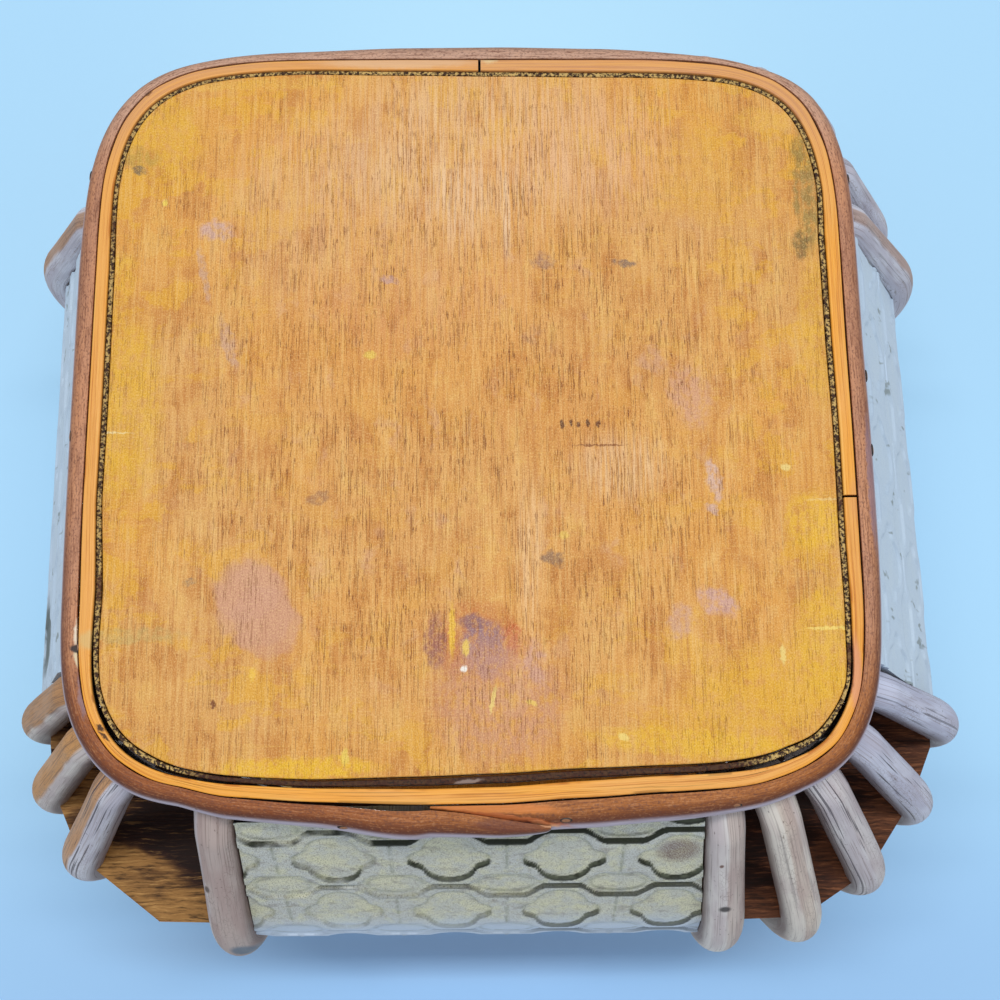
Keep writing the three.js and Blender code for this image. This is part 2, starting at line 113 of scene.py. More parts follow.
# The side sheets: the way out, then at both ends the rib and how far out the
# sheet's crown stands beside it
SHEETS = {
    "front": ((0, -1), ("front_left_1", 158.3), ("front_right_1", 158.3)),
    "back": ((0, 1), ("back_right_1", 153.9), ("back_left_1", 153.9)),
    "left": ((-1, 0), ("back_left_5", 156.2), ("front_left_5", 160.1)),
    "right": ((1, 0), ("front_right_5", 152.0), ("back_right_5", 152.3)),
}

# ---- camera
EYE = np.array([-7.4, -118.5, -399.9])
VIEW = np.array([
    [-0.99995, -0.00956, -0.00101],
    [-0.0091, 0.97569, -0.21898],
    [0.00308, -0.21896, -0.97573],
])
FOCAL_PIXELS = 1400.0
FRAME_PIXELS = 1000.0
PIXELS_PER_MM = 3.365  # on the bottom


def add_object(name, data):
    added = bpy.data.objects.new(name, data)
    bpy.context.scene.collection.objects.link(added)
    return added


def make_camera():
    """The photograph's camera: rows of VIEW are its right, up and backward axes."""
    data = bpy.data.cameras.new("camera")
    data.sensor_width = 36.0
    data.lens = FOCAL_PIXELS / FRAME_PIXELS * data.sensor_width
    data.clip_start, data.clip_end = 0.01, 20.0
    camera = add_object("camera", data)
    place = Matrix([list(row) for row in VIEW]).transposed().to_4x4()
    place.translation = Vector(EYE * MM + CENTRE)
    camera.matrix_world = place
    bpy.context.scene.camera = camera


def seen_at(px, py, height=0.0):
    """Where the line of sight through a pixel meets the level plane at a height."""
    middle = FRAME_PIXELS / 2
    way = VIEW.T @ np.array([(px - middle) / FOCAL_PIXELS, (middle - py) / FOCAL_PIXELS, -1.0])
    return (EYE + way * (height - EYE[2]) / way[2])[:2]


# ---- meshes
def smooth_step(low, high, value):
    """0 below low, 1 above high, and 3t^2 - 2t^3 between."""
    t = np.clip((value - low) / (high - low), 0.0, 1.0)
    return t * t * (3.0 - 2.0 * t)


# How the hand-bent bottom strays from the rounded square, at lengths along its
# outline from the middle of the +X side: how far outward the board's edge and
# the seam between the bands lie, and how much wider the outer band is
STRAY = np.array([
    (0, 0.1, 0.0, 0.0), (44, 0.3, 0.0, 0.1), (72, 1.2, 0.3, -0.6), (100, 0.8, 0.3, -1.4),
    (118, 1.2, 0.3, -2.3), (146, 1.5, 0.4, -1.8), (177, 0.8, 0.3, -0.5), (209, 0.2, 0.0, -0.1),
    (240, -0.4, -0.2, -0.8), (271, -0.6, -0.3, -2.7), (286, -0.3, -0.3, -3.0), (302, -0.1, 0.0, -0.8),
    (328, 0.4, 0.0, -0.4), (345, -0.7, -0.2, -0.3), (376, -0.6, -0.2, -0.3), (405, 0.0, 0.0, 0.0),
    (440, -0.2, 0.0, 0.0), (465, 0.6, 0.1, -0.3), (480, 1.9, 0.2, -0.3), (494, 0.1, 0.0, -0.1),
    (506, -1.8, -0.8, -0.3), (519, -1.9, -0.6, 0.3), (543, -1.9, -0.3, 1.4), (565, -1.4, 0.9, 1.9),
    (588, -0.2, 2.2, 1.9), (611, 0.5, 2.4, 0.6), (640, 1.0, 1.5, -0.8), (664, 0.4, 0.2, -0.4),
    (677, 0.0, -0.9, -0.9), (688, -0.5, -0.5, -0.3), (712, 0.6, 0.0, 0.0), (740, -1.1, -0.2, -0.2),
    (768, 0.3, 0.0, -0.2), (793, 0.1, 0.0, 0.0),
])


def rounded_square(turn):
    """Points and normals of |x|^n + |y|^n = half^n at running angles."""
    c, s, power = np.cos(turn), np.sin(turn), 2.0 / SQUARENESS
    point = np.stack([np.sign(c) * abs(c) ** power, np.sign(s) * abs(s) ** power], -1) * HALF_BASE
    normal = np.stack([np.sign(c) * abs(c) ** (2 - power), np.sign(s) * abs(s) ** (2 - power)], -1)
    return point, normal / np.linalg.norm(normal, axis=-1, keepdims=True)


def dense_turns():
    """Running angles round the outline, crowded towards the flats' middles, and
    the lengths at them. A curve's length is the sum of its chords."""
    crowd = np.concatenate([-np.logspace(-9, -1, 400), np.logspace(-9, -1, 400)])
    flats = (np.arange(5)[:, None] * np.pi / 2 + crowd).ravel()
    turns = np.concatenate([np.linspace(0, CIRCLE, 8001), flats])
    turns = np.unique(turns[(turns >= 0) & (turns <= CIRCLE)])
    point, _ = rounded_square(turns)
    steps = np.linalg.norm(np.diff(point, axis=0), axis=1)
    return turns, np.concatenate([[0.0], np.cumsum(steps)])


DENSE_TURNS, DENSE_LENGTHS = dense_turns()


def length_at(turn):
    """The length along the outline at a running angle."""
    return np.interp(np.mod(turn, CIRCLE), DENSE_TURNS, DENSE_LENGTHS)


def rim(turn, offset=0.0):
    """Points of the hand-bent outline at running angles, moved out along the
    normal by an offset and by how far the outline strays there."""
    turn, offset = np.broadcast_arrays(np.asarray(turn, float), np.asarray(offset, float))
    length = length_at(turn)
    board, seam, wider = [smooth_table(length, STRAY[:, k]) for k in (1, 2, 3)]
    inner = np.clip(offset / SEAM_OFFSET, 0.0, 1.0)
    outer = np.clip((offset - SEAM_OFFSET) / OUTER_THICKNESS, 0.0, 1.0)
    offset = offset + board * (1 - inner) + seam * inner + wider * outer
    point, normal = rounded_square(turn)
    return point + normal * offset[..., None]


def smooth_table(length, values):
    """Values of the table above at lengths, eased between its rows."""
    row = np.clip(np.searchsorted(STRAY[:, 0], length) - 1, 0, len(STRAY) - 2)
    low, high = STRAY[row, 0], STRAY[row + 1, 0]
    t = np.clip((length - low) / (high - low), 0.0, 1.0)
    t = 0.5 * t + 0.5 * smooth_step(0.0, 1.0, t)
    return values[row] * (1 - t) + values[row + 1] * t


def turn_at(side, place):
    """The running angle at a place along a side, counted anticlockwise from its
    middle: side number times a right angle plus asin((place / half)^(n/2))."""
    share = np.minimum(np.abs(place) / HALF_BASE, 1.0) ** (SQUARENESS / 2)
    return side * np.pi / 2 + np.sign(place) * np.arcsin(share)


def even_turns(start, end, count):
    """Running angles from start to end at even steps of the outline's length."""
    whole = DENSE_LENGTHS[-1]
    first, last = [length_at(turn) + np.floor(turn / CIRCLE) * whole for turn in (start, end)]
    length = np.linspace(first, last, count)
    turns = np.interp(length % whole, DENSE_LENGTHS, DENSE_TURNS) + np.floor(length / whole) * CIRCLE
    return turns, length - first


def quads(*corners):
    """Four-sided faces out of four arrays of point numbers."""
    return np.stack(corners, -1).reshape(-1, 4).tolist()


def make_mesh(name, points, material, loop_rows=False, loop_columns=True, caps=False, fields=()):
    """A piece over a grid of points (rows, columns, 3). Loops join the last row or
    column to the first, and caps close the first and last row."""
    rows, columns = points.shape[:2]
    index = np.arange(rows * columns).reshape(rows, columns)
    if loop_rows:
        index = np.vstack([index, index[:1]])
    if loop_columns:
        index = np.hstack([index, index[:, :1]])
    faces = quads(index[:-1, :-1], index[1:, :-1], index[1:, 1:], index[:-1, 1:])
    if caps:
        faces.append(list(range(columns))[::-1])
        faces.append(list(range((rows - 1) * columns, rows * columns)))
    return make_piece(name, points.reshape(-1, 3), faces, material, dict(fields))


def make_piece(name, points, faces, material, fields):
    """Makes the object, with numbers or vectors at its points as fields. Doubles
    are merged, faces turned outward and all but sharp edges smoothed."""
    mesh = bpy.data.meshes.new(name)
    mesh.from_pydata((points * MM + CENTRE).tolist(), [], faces)
    for key, values in fields.items():
        flat = np.asarray(values, np.float32).reshape(len(points), -1)
        kind, channel = ("FLOAT", "value") if flat.shape[1] == 1 else ("FLOAT_VECTOR", "vector")
        mesh.attributes.new(key, kind, "POINT").data.foreach_set(channel, flat.ravel())
    work = bmesh.new()
    work.from_mesh(mesh)
    bmesh.ops.remove_doubles(work, verts=work.verts, dist=2e-6)
    bmesh.ops.recalc_face_normals(work, faces=work.faces)
    work.to_mesh(mesh)
    work.free()
    mesh.polygons.foreach_set("use_smooth", np.ones(len(mesh.polygons), bool))
    mesh.set_sharp_from_angle(angle=np.radians(50))
    mesh.materials.append(material)
    piece = add_object(name, mesh)
    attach(piece, "root")
    return piece


def stand_in(piece, slot, *nodes):
    """Hides these nodes of the part, which the piece stands for; the piece and the finish slot are not
    used.
    """
    if nodes:
        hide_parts(*nodes)


def upside_down(points):
    """Turned over about the line from front to back, up to the rim."""
    return points * np.array([-1.0, 1.0, -1.0]) + np.array([0.0, 0.0, HEIGHT])


# ---- finishes
def to_linear(value):
    """An sRGB level from 0 to 255 as linear light."""
    share = value / 255.0
    return share / 12.92 if share <= 0.04045 else ((share + 0.055) / 1.055) ** 2.4


def tint(*levels):
    return (*[to_linear(level) for level in levels], 1.0)


class Finish:
    """One finish built out of nodes. Most methods take sockets or values and give
    the socket of their result. `place` is in millimetres about the board's middle,
    and `colour` is the colour so far, over which coats are laid."""

    def __init__(self, name, roughness, gloss=0.5):
        self.material = bpy.data.materials.new(name)
        self.material.use_nodes = True
        self.nodes = self.material.node_tree.nodes
        self.links = self.material.node_tree.links
        self.shader = self.nodes["Principled BSDF"]
        self.shader.inputs["Roughness"].default_value = roughness
        self.shader.inputs["Specular IOR Level"].default_value = gloss
        where = self.node("ShaderNodeTexCoord", out="Object")
        self.place = self.vector("MULTIPLY_ADD", where, (1 / MM,) * 3, tuple(-CENTRE / MM))

    def feed(self, socket, value):
        if isinstance(value, bpy.types.NodeSocket):
            self.links.new(value, socket)
        elif value is not None:
            socket.default_value = value

    def node(self, kind, *values, out=0, **settings):
        node = self.nodes.new(kind)
        for key, value in settings.items():
            setattr(node, key, value)
        for socket, value in zip(node.inputs, values):
            self.feed(socket, value)
        return node.outputs[out]

    def math(self, operation, *values):
        return self.node("ShaderNodeMath", *values, operation=operation)

    def times(self, first, *others):
        for other in others:
            first = self.math("MULTIPLY", first, other)
        return first

    def vector(self, operation, *values, out=0):
        return self.node("ShaderNodeVectorMath", *values, operation=operation, out=out)

    def split(self, vector, axis):
        return self.node("ShaderNodeSeparateXYZ", vector, out="XYZ"[axis])

    def field(self, name, out="Fac"):
        return self.node("ShaderNodeAttribute", attribute_name=name, out=out)

    def step(self, value, low, high, first=0.0, last=1.0):
        """Smoothly from first at low to last at high."""
        if low > high:
            low, high, first, last = high, low, last, first
        return self.node(
            "ShaderNodeMapRange", value, low, high, first, last, interpolation_type="SMOOTHSTEP")

    def noise(self, place, size, detail=2.0, roughness=0.5, out=0):
        """Noise whose features are about `size` millimetres along each axis."""
        size = (size,) * 3 if np.isscalar(size) else size
        scaled = self.vector("MULTIPLY", place, tuple(1.0 / s for s in size))
        return self.node("ShaderNodeTexNoise", scaled, None, 1.0, detail, roughness, out=out)

    def warp(self, place, size, reach):
        """The place pushed about by noise, so that marks get ragged outlines."""
        push = self.vector("SUBTRACT", self.noise(place, size, 3.0, 0.6, out=1), (0.5, 0.5, 0.5))
        return self.vector("MULTIPLY_ADD", push, (reach * 2, reach * 2, 0.0), place)

    def mix(self, share, first, second):
        other_kinds = (None,) * 5
        return self.node("ShaderNodeMix", share, *other_kinds, first, second, out=2, data_type="RGBA")

    def coat(self, levels, *masks):
        """Lays sRGB levels or a colour's socket where the masks' product is high."""
        if not isinstance(levels, bpy.types.NodeSocket):
            levels = tint(*levels)
        self.colour = self.mix(self.times(*masks), self.colour, levels)

    def spot(self, place, px, py, wide, high, soft, turn, strength, height=0.0):
        """An oval mask round the place seen at a pixel of the photograph, its
        full width and height in pixels, turned clockwise by some degrees."""
        centre, turned = (*seen_at(px, py, height), 0.0), (0.0, 0.0, np.radians(turn))
        half = (wide / 2 / PIXELS_PER_MM, high / 2 / PIXELS_PER_MM, 1e4)
        away = self.node("ShaderNodeMapping", place, centre, turned, half, vector_type="TEXTURE")
        return self.step(self.vector("LENGTH", away, out=1), 1 - soft, 1 + soft, strength, 0.0)

    def spots(self, place, soft, table, *masks):
        """Coats of spots, each row giving a pixel, a width and height, a turn, a
        colour and a strength."""
        for px, py, wide, high, turn, levels, strength in table:
            self.coat(levels, self.spot(place, px, py, wide, high, soft, turn, strength), *masks)

    def oval(self, place, centre, half, start, end):
        """From 0 to 1 between two distances from a centre, counted in half widths."""
        away = self.vector("SUBTRACT", place, (*centre, 0.0))
        away = self.vector("MULTIPLY", away, (1 / half[0], 1 / half[1], 0.0))
        return self.step(self.vector("LENGTH", away, out=1), start, end)

    def painted_gap_shade(self, start, end, *masks):
        """Painted shade in the gaps between parts: eases to nearly black from one depth
        below the bottom's or the rim's face to another."""
        up = self.split(self.place, 2)
        depth = self.math("MINIMUM", up, self.math("SUBTRACT", HEIGHT, up))
        self.coat((14, 7, 4), self.step(depth, start, end), *masks)

    def bump(self, height, distance, strength=1.0):
        node = self.nodes.new("ShaderNodeBump")
        node.inputs["Strength"].default_value = strength
        node.inputs["Distance"].default_value = distance * MM
        self.feed(node.inputs["Height"], height)
        self.feed(self.shader.inputs["Normal"], node.outputs[0])

    def paint(self, roughness=None):
        """Gives the shader its colour, and its roughness if that varies."""
        self.feed(self.shader.inputs["Base Color"], self.colour)
        self.feed(self.shader.inputs["Roughness"], roughness)
        return self.material


# The bottom's marks: the pixel of the photograph at which each is seen, its width and
# height in pixels, its turn in degrees, its colour and, but for chips, its strength
# the pale scuffs about the upper middle are partly painted sheen, light reflected off the grain
SCUFFS_AND_SHEEN = [
    (480, 150, 330, 190, 0, (238, 194, 150), 0.62), (300, 200, 170, 170, 0, (230, 180, 134), 0.40),
    (600, 150, 170, 130, 0, (232, 174, 128), 0.45), (420, 290, 260, 120, 0, (228, 170, 122), 0.35),
    (530, 560, 26, 150, 0, (244, 196, 140), 0.75), (620, 465, 90, 66, 0, (240, 196, 146), 0.75),
    (560, 400, 150, 120, 0, (200, 120, 50), 0.35), (370, 330, 150, 80, 0, (204, 122, 58), 0.35),
    (460, 200, 60, 90, 0, (240, 200, 160), 0.5), (505, 215, 10, 90, 0, (244, 206, 166), 0.7),
]
STAINS = [
    (160, 140, 90, 90, 0, (230, 174, 44), 0.7), (128, 410, 66, 190, 0, (232, 178, 46), 0.6),
    (120, 280, 34, 60, 0, (236, 182, 44), 0.5), (300, 768, 150, 20, 0, (240, 186, 40), 0.85),
    (818, 330, 40, 160, 0, (232, 176, 56), 0.6), (815, 520, 60, 60, 0, (240, 186, 44), 0.7),
    (760, 700, 170, 100, -20, (232, 174, 44), 0.7), (825, 640, 60, 110, 0, (236, 182, 46), 0.6),
    (690, 742, 190, 26, 4, (238, 184, 46), 0.7), (700, 170, 90, 110, 0, (226, 166, 62), 0.5),
    (760, 120, 60, 26, 0, (236, 182, 70), 0.5), (250, 85, 200, 14, 0, (236, 184, 80), 0.5),
    (806, 185, 26, 150, 0, (140, 122, 66), 0.75), (800, 245, 18, 30, 0, (100, 88, 50), 0.7),
    (140, 172, 18, 10, 0, (124, 104, 78), 0.9), (135, 158, 50, 24, 0, (170, 140, 76), 0.5),
    (217, 230, 34, 22, 0, (212, 170, 154), 0.9),
    (204, 275, 9, 60, -12, (206, 164, 138), 0.7), (228, 345, 13, 60, -16, (204, 160, 134), 0.7),
    (690, 395, 38, 66, -18, (216, 160, 128), 0.75), (652, 362, 30, 22, 20, (212, 160, 126), 0.6),
    (714, 480, 14, 42, -4, (216, 176, 156), 0.95), (712, 509, 11, 11, 0, (214, 172, 152), 0.9),
    (718, 600, 40, 26, 25, (212, 164, 148), 0.95), (681, 622, 24, 34, 0, (210, 162, 138), 0.7),
    (475, 640, 96, 70, 0, (196, 108, 54), 0.7), (436, 642, 20, 54, 0, (150, 96, 92), 0.75),
    (484, 648, 44, 58, -14, (150, 116, 128), 0.95), (470, 622, 30, 14, 0, (136, 98, 104), 0.7),
    (512, 636, 16, 30, 0, (206, 100, 56), 0.6), (500, 700, 124, 116, 0, (206, 146, 116), 0.7),
    (535, 665, 20, 46, 0, (212, 160, 138), 0.7), (553, 560, 24, 14, 12, (146, 112, 88), 0.85),
    (625, 264, 24, 8, 10, (128, 100, 88), 0.85), (544, 262, 22, 18, 0, (160, 118, 100), 0.7),
    (390, 280, 18, 10, 0, (192, 152, 148), 0.7), (320, 498, 26, 14, 0, (150, 104, 80), 0.6),
    (190, 582, 12, 10, 0, (140, 118, 96), 0.7), (130, 636, 100, 14, 0, (204, 168, 98), 0.75),
]
RESIDUE = [
    (247, 592, 66, 62, -20, (208, 152, 124), 0.6), (266, 622, 62, 74, -30, (208, 152, 124), 0.6),
    (254, 606, 74, 80, -30, (210, 154, 124), 0.6),
]
CHIPS = [
    (452, 630, 6, 46, 0, (242, 190, 56)), (466, 648, 7, 16, 0, (240, 200, 90)),
    (464, 669, 7, 6, 0, (252, 246, 236)), (370, 355, 12, 9, 0, (236, 196, 84)),
    (624, 737, 11, 6, 20, (246, 214, 120)), (532, 703, 10, 5, 20, (238, 196, 96)),
    (493, 700, 4, 26, 12, (240, 206, 120)), (252, 675, 6, 12, 0, (240, 190, 70)),
    (786, 467, 10, 7, 0, (244, 214, 130)), (564, 535, 10, 9, 0, (240, 196, 96)),
    (345, 757, 7, 16, 0, (240, 204, 90)), (783, 655, 5, 18, 0, (240, 208, 120)),
    (165, 203, 5, 7, 0, (244, 210, 90)), (213, 705, 4, 10, 0, (120, 62, 30)),
    (600, 445, 50, 2, 0, (150, 90, 46)), (105, 433, 50, 2, 0, (244, 214, 150)),
    (830, 628, 44, 3, 0, (248, 214, 110)), (832, 499, 50, 2, 0, (238, 196, 120)),
    (562, 424, 4, 9, 0, (84, 40, 20)), (571, 423, 3, 8, 0, (84, 40, 20)),
    (578, 425, 4, 6, 0, (96, 48, 24)), (588, 423, 3, 8, 0, (84, 40, 20)),
    (598, 424, 4, 7, 0, (96, 48, 24)),
]


def make_board_finish(name, marked):
    """Amber-stained plywood with upright pores. The marked one has the stains,
    scuffs and glue residue of the bottom's outer face, its pale scuffs being partly painted sheen."""
    f = Finish(name, 0.5, 0.25)
    place = f.place
    centre_share = f.oval(place, (0.0, 0.0), (95.0, 110.0), 1.1, 0.5)
    broad = f.noise(place, (55, 70, 55), 2.0, 0.55)
    f.colour = f.mix(f.step(broad, 0.35, 0.65), tint(227, 158, 68), tint(220, 160, 88))
    f.coat((222, 155, 80), centre_share, 0.5)
    pushed = f.warp(place, 8.0, 4.5)
    blotch = f.noise(pushed, (10, 20, 10), 4.0, 0.64)
    f.coat((200, 128, 60), f.step(blotch, 0.51, 0.62, 0, 0.65))
    f.coat((232, 178, 92), f.step(blotch, 0.46, 0.36, 0, 0.55))
    golden = f.noise(pushed, (19, 13, 19), 4.0, 0.68)
    edge_share = f.math("SUBTRACT", 1.0, f.times(centre_share, 0.75))
    f.coat((230, 168, 48), f.step(golden, 0.51, 0.60), edge_share, 0.8)
    rosy = f.step(f.noise(pushed, (8, 13, 8), 3.0, 0.6), 0.56, 0.70, 0, 0.45)
    f.coat((216, 164, 128), rosy, f.step(centre_share, 0.0, 1.0, 0.3, 1.0))
    streak = f.noise(place, (1.2, 30, 1.2), 3.0, 0.65)
    f.coat((238, 188, 116), f.step(streak, 0.48, 0.70, 0.0, 0.5))
    f.coat((184, 112, 50), f.step(streak, 0.50, 0.30, 0.0, 0.5))
    across = f.noise(place, (17, 0.55, 17), 1.0, 0.5)
    f.coat((240, 188, 92), f.step(across, 0.55, 0.8, 0.0, 0.3))
    if marked:
        add_marks(f, place)
    patchy = f.step(f.noise(place, (13, 26, 13), 2.0), 0.34, 0.6, 0.3, 1.0)
    shown = f.step(centre_share, 0.0, 0.8, 0.65, 1.0)
    lines = f.step(f.noise(place, (0.36, 15.0, 0.36), 2.0, 0.7), 0.55, 0.66)
    dashes = f.step(f.noise(place, (0.40, 4.5, 0.40), 1.0, 0.6), 0.60, 0.72)
    pores = f.times(f.math("MAXIMUM", f.times(lines, 0.8), dashes), patchy, shown)
    f.coat((122, 58, 22), pores, 0.9)
    speck = f.noise(place, (0.36, 0.5, 0.36), 1.0, 0.6)
    f.coat((252, 210, 144), f.step(speck, 0.50, 0.72, 0.0, 0.36))
    f.coat((140, 78, 34), f.step(speck, 0.48, 0.27, 0.0, 0.32))
    f.bump(f.math("SUBTRACT", f.times(streak, 0.5), pores), 0.12, 0.6)
    return f.paint(f.step(blotch, 0.3, 0.7, 0.45, 0.62))


def add_marks(f, place):
    """The marks of the bottom. Scuffs follow the grain, and their pale streaks are partly a painted
    sheen of reflected light;
    stains have ragged edges, glue residue covers the grain and chips are small."""
    outer = f.step(f.split(place, 2), 1.5, 0.5)
    fibre = f.times(f.step(f.noise(place, (0.9, 22, 0.9), 3.0, 0.65), 0.40, 0.62, 0.15, 1.0), outer)
    ragged = f.warp(place, 5.0, 3.2)
    faint = f.times(f.step(f.noise(place, (2.2, 3.4, 2.2), 3.0, 0.65), 0.36, 0.58, 0.3, 1.0), outer)
    f.spots(place, 0.5, SCUFFS_AND_SHEEN, fibre)
    f.spots(ragged, 0.28, STAINS, faint)
    f.spots(ragged, 0.12, RESIDUE, outer)
    f.spots(f.warp(place, 1.4, 0.9), 0.35, [(*chip, 0.9) for chip in CHIPS], outer)


def make_edging_finish():
    """Pale cane, speckled with dark glue and dirt, darkest along the front."""
    f = Finish("speckled_edging", 0.6, 0.3)
    mottle = f.noise(f.place, (1.0, 1.0, 3.0), 3.0, 0.7)
    f.colour = f.mix(f.step(mottle, 0.44, 0.56), tint(58, 32, 12), tint(206, 172, 104))
    patches = f.step(f.noise(f.place, (22, 22, 9), 2.0), 0.54, 0.66)
    middle = f.step(f.math("ABSOLUTE", f.split(f.place, 0)), 86.0, 70.0)
    front = f.times(f.step(f.split(f.place, 1), -92.0, -104.0), middle)
    left = f.step(f.split(f.place, 0), 98.0, 106.0, 0.0, 0.15)
    stained = f.math("MAXIMUM", f.math("MAXIMUM", patches, front), left)
    f.coat((84, 44, 20), stained, 0.8)
    f.coat((60, 24, 10), front, 0.75)
    f.coat((28, 14, 8), f.step(f.noise(f.place, 0.7, 1.0), 0.56, 0.64, 0, 0.9))
    f.spots(f.warp(f.place, 2.0, 1.0), 0.3, [(468, 782, 26, 4, -6, (150, 128, 118), 0.9)])
    # painted shade down in the gaps beside the edging
    f.painted_gap_shade(1.4, 2.6)
    f.bump(mottle, 0.4)
    return f.paint()


def make_inner_band_finish():
    """Orange varnished cane with fine lines along it, cracked at the front corners."""
    f = Finish("orange_cane", 0.4, 0.3)
    straight = f.field("straight", "Vector")
    cloud = f.noise(straight, (60, 9, 9), 2.0)
    f.colour = f.mix(f.step(cloud, 0.4, 0.62), tint(248, 168, 62), tint(242, 170, 84))
    lines = f.noise(straight, (40, 0.30, 0.45), 3.0, 0.65)
    f.coat((190, 104, 32), f.step(lines, 0.50, 0.66, 0, 0.75))
    f.coat((252, 196, 104), f.step(lines, 0.46, 0.32, 0, 0.45))
    back = f.step(f.split(f.place, 1), 70.0, 96.0)
    f.coat((206, 150, 110), back, f.step(lines, 0.4, 0.6, 0.3, 0.6))
    f.spots(f.warp(f.place, 2.0, 0.8), 0.35, [
        (857, 680, 12, 80, 0, (232, 156, 110), 0.9), (400, 62, 160, 14, 0, (230, 184, 140), 0.7),
        (490, 58, 20, 12, 0, (236, 206, 152), 0.8), (92, 640, 26, 18, 0, (222, 186, 120), 0.7),
        (858, 500, 16, 40, 0, (234, 160, 90), 0.6), (857, 718, 12, 7, -35, (30, 14, 8), 0.95),
        (862, 712, 10, 3, -50, (30, 14, 8), 0.9), (100, 728, 9, 4, 40, (60, 28, 10), 0.95),
        (104, 736, 15, 2.5, 38, (60, 28, 10), 0.9), (98, 741, 12, 2.5, 60, (80, 40, 16), 0.9),
        (798, 92, 12, 5, 40, (80, 56, 40), 0.8), (148, 94, 9, 4, -35, (110, 60, 26), 0.8),
    ])
    front = f.step(f.split(f.place, 1), -80.0, -90.0)
    corner = f.step(f.math("ABSOLUTE", f.split(f.place, 0)), 70.0, 86.0, 0.35, 1.0)
    cracks = f.times(f.step(f.noise(straight, (46, 0.55, 3), 2.0), 0.63, 0.66), front, corner)
    f.coat((56, 22, 8), cracks, 0.95)
    # painted shade down in the gaps beside the inner band
    f.painted_gap_shade(0.7, 2.2)
    f.bump(f.math("SUBTRACT", lines, cracks), 0.25, 0.7)
    return f.paint()


def make_outer_band_finish():
    """Brown half-round cane, mauve at the back and sides, with a painted lavender-white highlight on
    its outer edge.
    """
    f = Finish("brown_half_round_cane", 0.42, 0.35)
    straight = f.field("straight", "Vector")
    across, up = f.split(straight, 1), f.split(straight, 2)
    x, y = f.split(f.place, 0), f.split(f.place, 1)
    front = f.step(y, -62.0, -96.0)
    cloud = f.noise(straight, (50, 8, 8), 2.0)
    f.colour = f.mix(f.step(cloud, 0.4, 0.6), tint(204, 140, 100), tint(186, 128, 96))
    f.coat((206, 168, 146), f.step(y, 70.0, 104.0, 0, 0.7))
    f.coat(f.mix(f.step(x, 60.0, -20.0), tint(152, 80, 26), tint(170, 98, 34)), front)
    outward = f.step(across, 1.4, 5.2)
    f.coat((84, 38, 28), outward, f.step(y, -20.0, -96.0, 0.35, 0.95))
    grain = f.noise(straight, (8, 0.45, 0.6), 3.0, 0.7)
    f.coat((116, 62, 34), f.step(grain, 0.48, 0.66, 0, 0.7))
    f.coat((220, 156, 104), f.step(grain, 0.47, 0.32, 0, 0.25))
    speck = f.noise(straight, (0.9, 0.5, 0.5), 2.0, 0.65)
    f.coat((104, 60, 44), f.step(speck, 0.52, 0.66, 0, 0.65))
    f.coat((226, 170, 122), f.step(speck, 0.46, 0.30, 0, 0.2))
    # painted highlight: lavender-white along the lower outer edge, its strength varied by noise
    edge = f.times(f.step(up, 1.4, 3.2), f.step(up, 11.6, 9.5), f.step(across, 3.9, 5.3))
    worn = f.step(f.noise(straight, (14, 2, 2), 3.0, 0.6), 0.3, 0.5, 0.7, 1.0)
    f.coat((196, 184, 200), edge, worn, 0.95)
    f.spots(f.warp(f.place, 3.0, 1.0), 0.3, [
        (79, 630, 9, 28, 6, (236, 216, 190), 0.95), (80, 662, 8, 26, -20, (230, 208, 170), 0.95),
        (76, 648, 14, 8, 0, (40, 34, 36), 0.95), (82, 690, 8, 50, -6, (150, 120, 124), 0.7),
        (545, 824, 26, 4, 10, (236, 176, 130), 0.9), (500, 816, 130, 5, 9, (206, 116, 66), 0.7),
        (490, 807, 130, 10, 3, (222, 132, 60), 0.8),
        (510, 826, 70, 12, 3, (100, 50, 42), 0.6), (872, 480, 8, 130, 0, (150, 124, 136), 0.6),
    ])
    # painted shade on the outer band's inner side, down in the gap
    f.painted_gap_shade(0.5, 2.0, f.step(across, 0.7, 0.1))
    f.bump(grain, 0.3, 0.7)
    return f.paint(f.step(grain, 0.3, 0.7, 0.36, 0.52))


